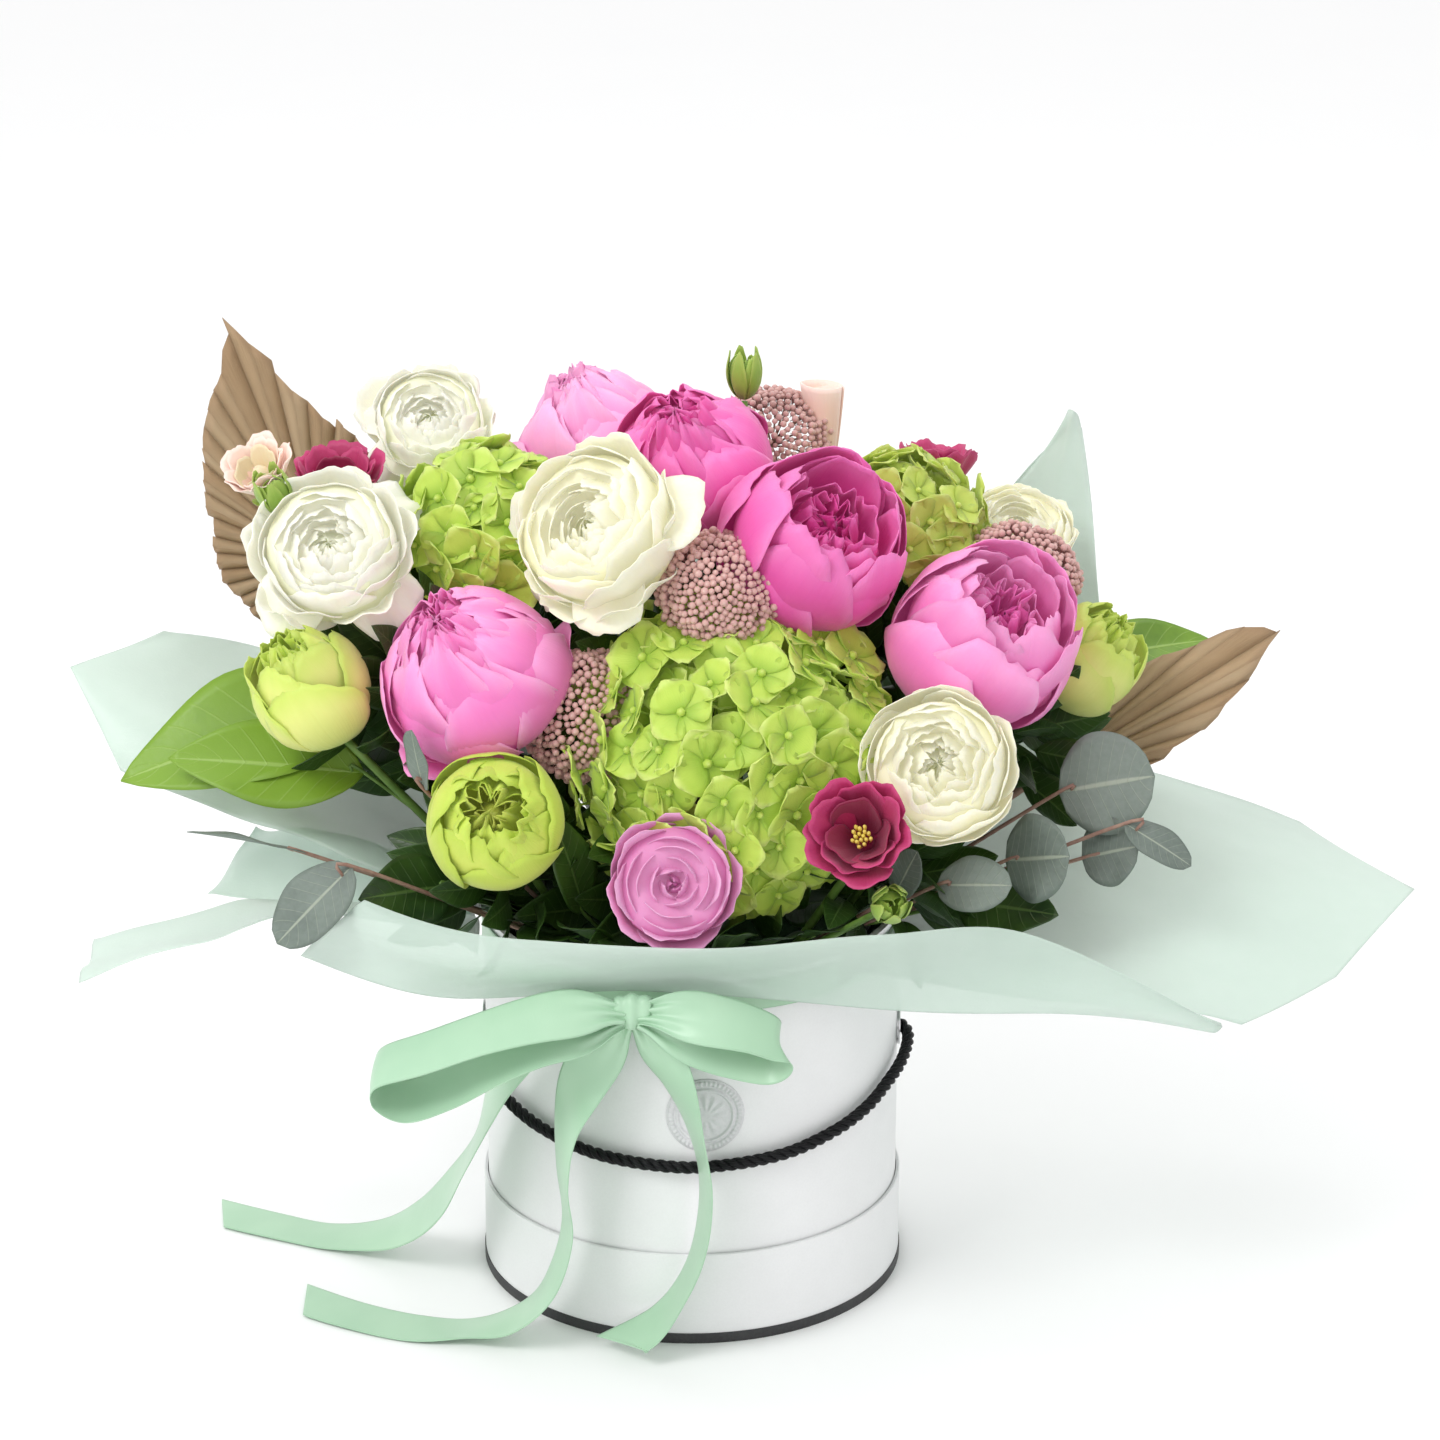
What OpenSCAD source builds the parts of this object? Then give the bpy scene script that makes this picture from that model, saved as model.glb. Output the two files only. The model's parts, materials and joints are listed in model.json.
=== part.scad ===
// Flower box: a round hat box that stands in its own upturned lid, with a
// rope handle, a film collar, a ribbon bow and cut flowers pushed into wet
// foam. Millimetres, +Z up. The origin is the centre of the lid's underside.

/* [Box] */
// Outer radius of the box wall
box_r = 98; // [96:1:130]
// Height of the box from its base to its rim
box_h = 180; // [150:5:220]
// Thickness of the board of the box wall
box_wall_t = 3; // [2:0.5:4]
// Thickness of the base board
box_base_t = 2.5; // [2:0.5:4]

/* [Lid] */
// Height of the lid band
lid_h = 45; // [30:1:70]
// Thickness of the lid band
lid_wall_t = 1.6; // [1.2:0.1:3]
// Thickness of the lid board that everything stands on
lid_disc_t = 2.5; // [2:0.5:4]
// Gap between the box wall and the lid band
lid_gap = 0.4; // [0.3:0.1:1]
// Gap between the box base and the lid board
seat_gap = 0.3; // [0.3:0.1:1]
// Height of the dark edging tape
trim_h = 5; // [3:0.5:8]
// Thickness of the edging tape
trim_t = 0.5; // [0.3:0.1:1]

/* [Liner and foam] */
// Gap between the wall and the liner's lip
liner_lip_gap = 9; // [5:1:15]
// How much narrower the liner's foot is than its lip, on the radius
liner_taper = 24; // [20:1:36]
// Thickness of the liner
liner_t = 1.5; // [1:0.25:2.5]
// How far the liner stops under the rim
liner_drop = 7; // [4:1:12]
// Gap between the liner and the foam
foam_gap = 0.5; // [0.3:0.1:1]
// How far the foam dome stands over the rim
foam_rise = 20; // [10:1:24]

/* [Rope handle] */
// Diameter of the rope
rope_d = 6; // [5:0.5:7]
// Radius of the hole in the box wall for each rope end
eyelet_hole_r = 8.4; // [8:0.1:10]
// Radius of the clear way through an eyelet
eyelet_way_r = 7.6; // [7.4:0.1:8]
// Outer radius of an eyelet flange
eyelet_flange_r = 11; // [10:0.5:14]
// Thickness of an eyelet flange
eyelet_flange_t = 0.8; // [0.5:0.1:1.5]
// Gap between an eyelet and the hole in the wall
eyelet_gap = 0.1; // [0.05:0.05:0.3]
// Radius of the knot behind each eyelet
knot_r = 6; // [5:0.5:6.5]

/* [Seal] */
// Radius of the pressed seal on the wall
seal_r = 18; // [12:1:20]
// Height of the seal's middle over the floor
seal_z = 115; // [110:1:125]
// Turn of the seal round the box from the front, in degrees
seal_turn = 4; // [0:1:10]
// How far the seal stands proud of the wall
seal_t = 0.6; // [0.3:0.1:1]

/* [Ribbon] */
// Width of the satin ribbon
ribbon_w = 25; // [18:1:27]
// Thickness of a ribbon strip
ribbon_t = 1; // [0.6:0.1:1.5]
// Height of the gathered band tied round the box
band_h = 14; // [10:1:18]
// How far the band's top edge is under the rim
band_drop = 3; // [2:1:6]

/* [Film collar] */
// Thickness of a film sheet
film_t = 0.8; // [0.6:0.1:1.2]

/* [Flowers] */
// Radius of a peony head
peony_r = 40; // [28:1:41]
// Radius of a large ranunculus head
ranunculus_r = 33; // [24:1:34]
// Radius of the core of the large hydrangea head
hydrangea_r = 50; // [38:1:52]
// Radius of a green rose head
green_rose_r = 26; // [18:1:28]
// Radius of the mauve rose head
mauve_rose_r = 26; // [18:1:28]
// Radius of a lisianthus head
lisianthus_r = 18; // [12:1:19]
// Radius of a rice flower head
rice_r = 14; // [10:1:15]
// Radius of a flower stem
stem_r = 2; // [1.5:0.25:2.5]
// How deep the stems end under the rim
stem_depth = 40; // [25:5:80]

/* [Leaves] */
// Thickness of a leaf blade
leaf_t = 0.8; // [0.6:0.1:1.5]
// Radius of a twig
twig_r = 1.2; // [1:0.1:2]
// Length of a leaf in the ring round the rim
collar_l = 34; // [20:1:40]
// Width of a leaf in the ring round the rim
collar_w = 18; // [12:1:22]
// Thickness of a pleated palm spear
palm_t = 3; // [2:0.5:5]

/* [Hidden] */
$fn = 64;

seat_z = lid_disc_t + seat_gap;
rim_z = seat_z + box_h;
lid_bore_r = box_r + lid_gap;
lid_r = lid_bore_r + lid_wall_t;
box_bore_r = box_r - box_wall_t;
liner_lip_r = box_bore_r - liner_lip_gap;
liner_foot_r = liner_lip_r - liner_taper;
base_top_z = seat_z + box_base_t;
liner_z = base_top_z + seat_gap;
liner_top_z = rim_z - liner_drop;
foot_z = rim_z - stem_depth;
handle_z = 120;
eyelet_y = -3;
knot_x = 84;
knot_l = 10;

// Places in the bouquet are chosen for this box radius and follow the real one.
place_r = 98;
k = box_r / place_r;

// A place in the bouquet: x and y from the middle, z over the rim.
function spot(p) = [p.x * k, p.y * k, p.z + rim_z];
function unit(v) = v / norm(v);

// A smooth curve through a list of points, at a share s of its length in points.
function along(p, s) =
    let (n = len(p) - 1, x = s * n, i = min(floor(x), n - 1), u = x - i,
         a = p[max(i - 1, 0)], b = p[i], c = p[i + 1], d = p[min(i + 2, n)])
    0.5 * (2 * b + (c - a) * u + (2 * a - 5 * b + 4 * c - d) * u * u
           + (3 * b - a - 3 * c + d) * u * u * u);

// ---- flower places: middle of the head, way it faces, foot of the stem ----

PEONIES = [
    [[-95, -50, 129], [-0.35, -0.5, 0.8], [-36, -14]],
    [[-44, 100, 204], [-0.3, 0.1, 0.95], [-14, 54]],
    [[0, 35, 201], [-0.2, -0.5, 0.85], [4, 40]],
    [[57, -20, 177], [0.35, -0.55, 0.75], [44, 44]],
    [[131, -30, 137], [0.4, -0.45, 0.8], [46, -8]]
];
PEONY_SIZES = [1, 0.9, 0.9, 1, 1];
RANUNCULI = [
    [[-124, 90, 203], [0.05, -0.7, 0.7], [-38, 40]],
    [[-162, -10, 171], [-0.1, -0.75, 0.65], [-50, 4]],
    [[-35, -30, 194], [-0.5, -0.6, 0.6], [-20, 28]],
    [[111, -85, 95], [-0.1, -0.85, 0.5], [40, -30]],
    [[154, 75, 150], [0.1, -0.4, 0.9], [50, 28]]
];
RANUNCULUS_SIZES = [0.82, 1, 1, 0.91, 0.82];
HYDRANGEAS = [
    [[20, -45, 88], [0, -0.75, 0.65], [8, -12]],
    [[-98, 30, 176], [-0.3, -0.3, 0.9], [-34, 22]],
    [[100, 50, 172], [0.3, -0.1, 0.95], [44, 12]]
];
HYDRANGEA_SIZES = [1, 0.8, 0.72];
GREEN_ROSES = [
    [[-171, -40, 116], [-0.45, -0.25, 0.85], [-48, -8]],
    [[-86, -95, 74], [-0.05, -0.85, 0.5], [-32, -34]],
    [[183, 10, 114], [0.6, -0.2, 0.75], [42, 4]]
];
GREEN_ROSE_SIZES = [0.96, 1, 0.9];
MAUVE_ROSE = [[-7, -110, 50], [0, -0.92, 0.4], [-4, -44]];
LISIANTHUS = [
    [[76, -112, 73], [-0.15, -0.8, 0.55], [26, -42]],
    [[-164, 50, 182], [0, -0.2, 1], [-46, 24]],
    [[117, 100, 175], [0.1, 0.2, 0.95], [32, 56]]
];
LISIANTHUS_SIZES = [1, 0.95, 0.9];
BLUSH_LISIANTHUS = [[-196, 20, 198], [-0.3, -0.5, 0.8], [-56, 14]];
BUDS = [
    [[25, 70, 234], [0, 0, 1], [14, 44]],
    [[88, -124, 46], [0.1, -0.5, 0.3], [8, -30]]
];
CALLA = [[64, 100, 198], [-0.05, 0, 1], [22, 60]];
RICE_FRONT = [
    [[7, 10, 155], [0.1, -0.6, 0.8], [-4, 30]],
    [[-51, -20, 105], [-0.1, -0.7, 0.7], [-42, -4]]
];
RICE_BACK = [
    [[39, 95, 199], [0.1, -0.4, 0.9], [8, 62]],
    [[155, 25, 153], [0.3, -0.3, 0.9], [54, 18]]
];

// ---- leaves: base, tip, way the face looks, width, foot of the twig ----

LEAVES_LEFT = [
    [[-150, 8, 96], [-263, -25, 72], [0.1, -0.6, 0.8], 62, [-32, 12]],
    [[-150, -22, 70], [-238, -34, 84], [0, -0.75, 0.65], 44, [-24, -7]]
];
LEAVES_RIGHT = [
    [[180, 68, 92], [250, 80, 104], [-0.2, -0.6, 0.8], 34, [40, 21]],
    [[120, 70, 60], [188, 98, 78], [0, -0.3, 0.95], 34, [21, 17]]
];
LEAVES_FRONT = [
    [[-108, -66, 32], [-146, -96, 38], [0.3, -0.8, 0.5], 34, [-18, -12]],
    [[-48, -80, 24], [-58, -98, 78], [0.8, -0.6, 0], 26, [-10, -20]],
    [[122, -62, 22], [164, -88, 28], [-0.2, -0.7, 0.7], 36, [-7, 6]]
];
LEAVES_BACK = [
    [[-70, 110, 60], [-96, 140, 140], [-0.3, 0.9, 0.3], 52, [-28, 44]],
    [[-10, 120, 50], [-14, 150, 130], [0, 0.9, 0.3], 50, [-4, 52]],
    [[30, 114, 60], [44, 140, 130], [0.3, 0.9, 0.3], 46, [12, 52]],
    [[98, 88, 56], [118, 104, 116], [0.6, 0.7, 0.3], 40, [30, 40]]
];
EUCALYPTUS_RIGHT = [
    [[168, -42, 68], [210, -52, 80], [-0.2, -0.85, 0.5], 48, [34, 3]],
    [[142, -76, 48], [168, -96, 58], [0.1, -0.9, 0.4], 40, [18, -12]],
    [[178, -58, 42], [202, -68, 52], [-0.3, -0.8, 0.5], 32, [-1, -1]],
    [[196, -66, 62], [226, -76, 46], [0.3, -0.7, 0.7], 18, [11, -9]]
];
EUCALYPTUS_LEFT = [
    [[-150, -98, 54], [-184, -110, 22], [-0.3, -0.8, 0.5], 30, [-6, -16]],
    [[-174, -62, 46], [-226, -70, 62], [0, 0.3, 0.95], 24, [3, -9]],
    [[-118, -82, 84], [-124, -88, 114], [-0.8, -0.6, 0.2], 18, [-24, -26]]
];
EUCALYPTUS_FRONT = [
    [[110, -96, 44], [142, -110, 50], [0, -0.8, 0.6], 26, [10, -20]],
    [[92, -88, 36], [100, -102, 62], [-0.6, -0.8, 0.2], 18, [16, -20]]
];

// Turns round the box of the short leaves in the ring, in degrees.
COLLAR_TURNS = [-136, -118, -106, -80, -68, -20, 52, 80, 106, 134, 150];

// ---- palm spears: base, tip, way the face looks, outline along and across ----

PALM_LEFT = [[-181, 110, 131], [-228, 122, 253], [-0.1, -0.95, 0.2], [-24, 29]];
PALM_LEFT_EDGE = [
    [131, 0], [110, 9], [100, 20], [83, 32], [50, 42], [7, 53], [-23, 39],
    [-10, 12], [-10, -14], [11, -48], [45, -43], [82, -25], [110, -11]
];
PALM_RIGHT = [[162, 22, 50], [278, 36, 122], [-0.2, -0.7, 0.7], [30, 8]];
PALM_RIGHT_EDGE = [
    [142, 0], [118, 14], [97, 17], [68, 24], [40, 28], [10, 12],
    [6, -10], [21, -24], [59, -27], [89, -24], [122, -12]
];

// ---- film sheets: rows of control points, from the near edge to the far ----

FILM_FRONT = [
    [[-175, -90, 8], [-112, -104, -8], [-22, -104, -1], [85, -104, -8], [165, -112, -10],
     [236, -118, -15]],
    [[-160, -102, 26], [-98, -118, 12], [-6, -122, 16], [85, -120, 12], [156, -118, 8],
     [237, -120, -14]],
    [[-144, -112, 43], [-84, -128, 33], [5, -138, 32], [84, -132, 34], [148, -124, 34],
     [238, -122, -13]]
];
FILM_RIGHT = [
    [[95, -88, -6], [150, -94, -10], [205, -98, -16], [248, -103, -20]],
    [[110, -50, 3], [170, -55, 1], [235, -60, -7], [296, -62, -14]],
    [[118, 0, 13], [185, 5, 17], [265, 10, 9], [344, 17, -3]],
    [[112, 50, 19], [165, 75, 31], [232, 103, 34], [300, 112, 19]]
];
FILM_BACK_RIGHT = [
    [[50, 112, 22], [120, 108, 25], [190, 92, 29]],
    [[100, 128, 97], [150, 126, 107], [200, 114, 102]],
    [[160, 134, 190], [176, 132, 201], [186, 130, 190]]
];
FILM_BACK = [
    [[-95, 104, 13], [-30, 128, 15], [36, 124, 13]],
    [[-135, 140, 70], [-40, 172, 80], [50, 164, 70]],
    [[-160, 168, 130], [-50, 208, 160], [66, 200, 130]]
];
FILM_LEFT_BACK = [
    [[-112, -45, 13], [-165, -32, 39], [-215, -12, 46], [-268, 10, 60]],
    [[-118, 15, 21], [-180, 30, 53], [-240, 42, 77], [-295, 50, 98]],
    [[-98, 78, 25], [-150, 100, 60], [-205, 108, 88], [-255, 90, 103]]
];
FILM_LEFT_FRONT = [
    [[-118, -75, 9], [-171, -80, 25], [-225, -80, 9], [-277, -80, -11]],
    [[-122, -44, 5], [-176, -44, 19], [-228, -34, 5], [-280, -20, -12]]
];
FILM_LEFT_LOW = [
    [[-128, -16, -1], [-180, -10, 1], [-228, 0, 0]],
    [[-125, 30, 7], [-170, 44, 13], [-210, 50, 19]]
];

// ---- ribbon routes: point, then the way its width runs ----

BOW_LEFT = [
    [[-40, -122, -8], [-0.2, -0.5, -0.8]], [[-62, -127, -8], [-0.3, -0.5, -0.8]],
    [[-90, -131, -12], [-0.35, -0.5, -0.8]], [[-117, -131, -22], [-0.35, -0.5, -0.8]],
    [[-136, -127, -35], [-0.2, -0.5, -0.8]], [[-138, -123, -47], [0, -0.5, -0.8]],
    [[-124, -123, -54], [0.2, -0.5, -0.8]], [[-100, -125, -48], [0.3, -0.5, -0.8]],
    [[-76, -125, -38], [0.4, -0.5, -0.8]], [[-56, -123, -28], [0.5, -0.5, -0.8]],
    [[-42, -122, -20], [0.5, -0.5, -0.8]]
];
BOW_RIGHT = [
    [[-12, -122, -8], [0.1, -0.5, -0.8]], [[8, -125, -9], [0.2, -0.5, -0.8]],
    [[28, -126, -13], [0.3, -0.5, -0.8]], [[41, -124, -21], [0.3, -0.5, -0.8]],
    [[35, -121, -29], [0.2, -0.5, -0.8]], [[16, -119, -26], [0.1, -0.5, -0.8]],
    [[0, -119, -21], [0, -0.5, -0.8]], [[-10, -120, -17], [0, -0.5, -0.8]]
];
TAIL_LEFT = [
    [[-78, -104, -16], [1, -0.3, 0]], [[-85, -94, -42], [0.9, -0.5, -0.2]],
    [[-93, -80, -72], [0.8, -0.6, -0.2]], [[-103, -62, -104], [0.7, -0.7, -0.3]],
    [[-117, -42, -135], [0.6, -0.8, -0.3]], [[-133, -22, -159], [0.3, -0.9, -0.3]],
    [[-152, -6, -174], [0.1, -1, -0.1]], [[-178, 6, -181], [0, -1, 0]],
    [[-209, 20, -181.6], [-0.3, -1, 0]], [[-240, 36, -181.6], [-0.5, -1, 0]]
];
TAIL_MIDDLE = [
    [[-40, -112, -28], [1, 0.1, -0.2]], [[-48, -112, -44], [1, 0, -0.3]],
    [[-56, -112, -66], [1, 0, -0.1]], [[-58, -112, -92], [1, -0.2, 0.1]],
    [[-56, -112, -118], [0.9, -0.3, -0.1]], [[-63, -109, -145], [0.7, -0.6, -0.4]],
    [[-78, -100, -168], [0.4, -0.9, -0.4]], [[-100, -92, -179], [0.1, -1, -0.1]],
    [[-128, -88, -181.6], [0, -1, 0]], [[-160, -74, -181.6], [-0.3, -1, 0]],
    [[-190, -54, -181.6], [-0.5, -1, 0]]
];
TAIL_RIGHT = [
    [[-12, -112, -30], [1, 0, 0.4]], [[-5, -114, -44], [1, 0, 0.5]],
    [[2, -115, -66], [1, -0.1, 0.2]], [[7, -116, -92], [1, -0.2, 0]],
    [[5, -116, -120], [1, -0.3, 0]], [[-3, -114, -146], [0.8, -0.5, -0.3]],
    [[-17, -113, -167], [0.5, -0.8, -0.5]], [[-40, -118, -178], [0.2, -1, -0.2]]
];

// ---- rope route, from knot to knot, as it hangs against the wall ----

ROPE_HALF = [
    [0, -102.5, 91], [16, -101, 91.5], [31.5, -97.5, 92.5], [46.5, -91.5, 94],
    [60, -83, 96.5], [72.5, -72.5, 99.5], [83, -60, 103], [91, -46.5, 107],
    [97.6, -33, 110.5], [101.4, -21, 114], [102.6, -11, 117], [100.2, -4.9, 118.6],
    [95, -1.5, 119.5], [89, 0, 120]
];
ROPE = concat(
    [for (i = [len(ROPE_HALF) - 1:-1:1]) [-ROPE_HALF[i].x, ROPE_HALF[i].y, ROPE_HALF[i].z]],
    ROPE_HALF
);
ROPE_SIDES = 10;
// The rope lies in one tilted plane, which its rings are squared to.
ROPE_PLANE = unit(cross([1, 0, 0], ROPE_HALF[0] - [0, 0, handle_z]));

// ---- shared shapes ----

module tube(r_out, r_in, h) {
    difference() {
        cylinder(r = r_out, h = h);
        translate([0, 0, -1]) cylinder(r = r_in, h = h + 2);
    }
}

// Children drawn along +Z from a point, turned to look along a direction.
module facing(p, dir) {
    d = unit(dir);
    side = unit(cross(abs(d.z) > 0.99 ? [0, 1, 0] : [0, 0, 1], d));
    up = cross(d, side);
    multmatrix([
        [side.x, up.x, d.x, p.x],
        [side.y, up.y, d.y, p.y],
        [side.z, up.z, d.z, p.z]
    ]) children();
}

// Children drawn flat, with +X from one point towards another and +Z along face.
module lying(from, to, face) {
    t = unit(to - from);
    b = unit(cross(face, t));
    n = cross(t, b);
    multmatrix([
        [t.x, b.x, n.x, from.x],
        [t.y, b.y, n.y, from.y],
        [t.z, b.z, n.z, from.z]
    ]) children();
}

module rod(from, to, r) {
    facing(from, to - from) cylinder(r = r, h = norm(to - from), $fn = 48);
}

// A head of revolution: globe of radius r, cup (0 to 1) hollows its crown.
module globe(r, tall, cup) {
    steps = 14;
    depth = r * tall;
    foot = 5;
    rotate_extrude($fn = 48) polygon(concat(
        [[0, 0], [foot, 0]],
        [for (i = [2:steps]) let (a = 180 * i / steps)
            [max(r * sin(a), foot), depth * (1 - cos(a)) - cup * depth * pow(i / steps, 6)]],
        [[0, depth * (2 - cup * 1.5)]]
    ));
}

// A straight stem from its foot in the foam to just short of the head.
module stem(head_base, foot) {
    from = [foot.x * k, foot.y * k, foot_z];
    rod(from, head_base - stem_r * unit(head_base - from), stem_r);
}

// A whole flower: its head is centred on its place and faces its direction.
module flower(place, r, tall, cup) {
    dir = unit(place[1]);
    base = spot(place[0]) - dir * r * tall;
    facing(base, dir) globe(r, tall, cup);
    stem(base, place[2]);
}

// A closed thin slab that follows a grid of control points.
module sheet(grid, t) {
    nu = 10;
    nv = 6;
    g = [for (row = grid) [for (p = row) spot(p)]];
    function at(u, v) = along([for (row = g) along(row, u)], v);
    function lift(u, v) =
        let (e = 0.01, u0 = max(u - e, 0), u1 = min(u + e, 1), v0 = max(v - e, 0),
             v1 = min(v + e, 1))
        unit(cross(at(u1, v) - at(u0, v), at(u, v1) - at(u, v0))) * t / 2;
    top = [for (j = [0:nv]) for (i = [0:nu]) at(i / nu, j / nv) + lift(i / nu, j / nv)];
    low = [for (j = [0:nv]) for (i = [0:nu]) at(i / nu, j / nv) - lift(i / nu, j / nv)];
    w = nu + 1;
    m = len(top);
    polyhedron(concat(top, low), concat(
        [for (j = [0:nv - 1]) for (i = [0:nu - 1]) each let (a = j * w + i)
            [[a, a + w, a + 1], [a + 1, a + w, a + w + 1],
             [m + a, m + a + 1, m + a + w], [m + a + 1, m + a + w + 1, m + a + w]]],
        [for (i = [0:nu - 1]) each let (a = i, b = nv * w + i)
            [[a, a + 1, m + a], [a + 1, m + a + 1, m + a],
             [b, m + b, b + 1], [b + 1, m + b, m + b + 1]]],
        [for (j = [0:nv - 1]) each let (a = j * w, b = j * w + nu)
            [[a, m + a, a + w], [a + w, m + a, m + a + w],
             [b, b + w, m + b], [b + w, m + b + w, m + b]]]
    ), convexity = 4);
}

// A closed flat strip along a route of points, each with the way its width runs.
module strip(route, w, t) {
    rings = 2 * (len(route) - 1);
    p = [for (q = route) spot(q[0])];
    side = [for (q = route) unit(q[1])];
    function mid(i) = along(p, i / rings);
    function way(i) = unit(mid(min(i + 1, rings)) - mid(max(i - 1, 0)));
    function edge(i) = let (s = along(side, i / rings)) unit(s - (s * way(i)) * way(i)) * w / 2;
    function skin(i) = unit(cross(way(i), edge(i))) * t / 2;
    pts = [for (i = [0:rings]) each [
        mid(i) + edge(i) + skin(i), mid(i) - edge(i) + skin(i),
        mid(i) - edge(i) - skin(i), mid(i) + edge(i) - skin(i)]];
    n = 4 * rings;
    polyhedron(pts, concat(
        [[0, 2, 1], [0, 3, 2], [n, n + 1, n + 2], [n, n + 2, n + 3]],
        [for (i = [0:rings - 1]) for (c = [0:3]) each
            let (a = 4 * i + c, b = 4 * i + (c + 1) % 4)
            [[a, b, a + 4], [b, b + 4, a + 4]]]
    ), convexity = 6);
}

// A leaf outline: pointed at its tip, full past its middle when round is near 1.
function leaf_edge(l, w, round) = concat(
    [for (i = [0:11]) let (s = i / 12)
        [l * s, w / 2 * (round * sqrt(sin(180 * s)) + (1 - round) * sin(180 * pow(s, 0.8)))]],
    [for (i = [12:-1:1]) let (s = i / 12)
        [l * s, -w / 2 * (round * sqrt(sin(180 * s)) + (1 - round) * sin(180 * pow(s, 0.8)))]]
);

module leaf(place, round) {
    from = spot(place[0]);
    to = spot(place[1]);
    lying(from, to, place[2])
        linear_extrude(leaf_t, center = true) polygon(leaf_edge(norm(to - from), place[3], round));
}

// Leaves, each on a twig of its own from the foam to just short of the blade.
module sprig(leaves, round) {
    for (l = leaves) {
        from = [l[4].x * k, l[4].y * k, foot_z];
        base = spot(l[0]);
        leaf(l, round);
        rod(from, base - 2 * twig_r * unit(base - from), twig_r);
    }
}

module palm(place, outline) {
    from = spot(place[0]);
    lying(from, spot(place[1]), place[2])
        linear_extrude(palm_t, center = true) polygon(outline);
    stem(from, place[3]);
}

// ---- lid, upturned as a tray ----

module lid_disc() {
    color("white") cylinder(r = lid_bore_r, h = lid_disc_t);
}

module lid_band() {
    color("white") tube(lid_r, lid_bore_r, lid_h);
}

module lid_trim() {
    color([0.17, 0.17, 0.17]) tube(lid_r + trim_t, lid_r, trim_h);
}

// ---- box ----

module box_wall() {
    color("whitesmoke") difference() {
        translate([0, 0, seat_z]) tube(box_r, box_bore_r, box_h);
        for (s = [-1, 1])
            translate([s * box_bore_r, eyelet_y, handle_z]) rotate([0, 90, 0])
                cylinder(r = eyelet_hole_r, h = 4 * box_wall_t, center = true);
    }
}

module box_base() {
    color("white") translate([0, 0, seat_z]) cylinder(r = box_bore_r, h = box_base_t);
}

// Ring with a flange outside the wall and a barrel through it.
module eyelets() {
    barrel_r = eyelet_hole_r - eyelet_gap;
    color("silver") for (s = [-1, 1])
        translate([s * box_bore_r, eyelet_y, handle_z]) rotate([0, s * 90, 0])
            difference() {
                union() {
                    cylinder(r = barrel_r, h = box_wall_t + eyelet_flange_t);
                    translate([0, 0, box_wall_t + eyelet_gap])
                        cylinder(r = eyelet_flange_r, h = eyelet_flange_t);
                }
                translate([0, 0, -1])
                    cylinder(r = eyelet_way_r, h = box_wall_t + 3 * eyelet_flange_t + 1);
            }
}

module seal_label() {
    color("white") rotate([0, 0, seal_turn]) intersection() {
        tube(box_r + seal_t, box_r, rim_z);
        translate([0, -box_r, seal_z]) rotate([90, 0, 0])
            cylinder(r = seal_r, h = 2 * seal_r, center = true);
    }
}

module liner() {
    floor_t = liner_t;
    h = liner_top_z - liner_z;
    color("lightgray") translate([0, 0, liner_z]) rotate_extrude() polygon([
        [0, 0], [liner_foot_r, 0], [liner_lip_r, h], [liner_lip_r - liner_t, h],
        [liner_foot_r - liner_t, floor_t], [0, floor_t]
    ]);
}

// Wet foam block, packed into the liner, with a domed crown.
module foam() {
    z0 = liner_z + liner_t + foam_gap;
    h = liner_top_z - z0;
    r0 = liner_foot_r - liner_t - foam_gap;
    r1 = liner_lip_r - liner_t - foam_gap - 1;
    crown = liner_drop + foam_rise;
    steps = 8;
    color([0.25, 0.4, 0.25]) translate([0, 0, z0]) rotate_extrude() polygon(concat(
        [[0, 0], [r0, 0]],
        [for (i = [0:steps]) [r1 * cos(90 * i / steps), h + crown * sin(90 * i / steps)]]
    ));
}

// ---- rope handle ----

module handle_rope() {
    n = len(ROPE) - 1;
    function way(i) = unit(ROPE[min(i + 1, n)] - ROPE[max(i - 1, 0)]);
    ends = [[1, 0, 0], [-1, 0, 0]];
    function square(i) = i == 0 ? ends[0] : i == n ? ends[1] : way(i);
    pts = [for (i = [0:n]) for (c = [0:ROPE_SIDES - 1])
        let (a = 360 * c / ROPE_SIDES, across = unit(cross(square(i), ROPE_PLANE)))
        ROPE[i] + rope_d / 2 * (cos(a) * cross(across, square(i)) + sin(a) * across)];
    last = n * ROPE_SIDES;
    color([0.1, 0.1, 0.1]) polyhedron(pts, concat(
        [[for (c = [ROPE_SIDES - 1:-1:0]) c]],
        [[for (c = [0:ROPE_SIDES - 1]) last + c]],
        [for (i = [0:n - 1]) for (c = [0:ROPE_SIDES - 1]) each
            let (a = i * ROPE_SIDES + c, b = i * ROPE_SIDES + (c + 1) % ROPE_SIDES)
            [[a, b, a + ROPE_SIDES], [b, b + ROPE_SIDES, a + ROPE_SIDES]]]
    ), convexity = 6);
}

// Stopper knots inside the box, one at each end of the rope.
module handle_knots() {
    rise = knot_r - rope_d / 2;
    color([0.12, 0.12, 0.12]) for (s = [-1, 1])
        translate([s * (knot_x + knot_l / 2), 0, handle_z]) rotate([0, -s * 90, 0])
            rotate_extrude($fn = 32) polygon([
                [0, 0], [rope_d / 2, 0], [knot_r, rise], [knot_r, knot_l - rise],
                [rope_d / 2, knot_l], [0, knot_l]
            ]);
}

// ---- ribbon ----

module ribbon_band() {
    r_in = box_r + seat_gap;
    color("mediumaquamarine") translate([0, 0, rim_z - band_drop - band_h])
        tube(r_in + ribbon_t, r_in, band_h);
}

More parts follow.
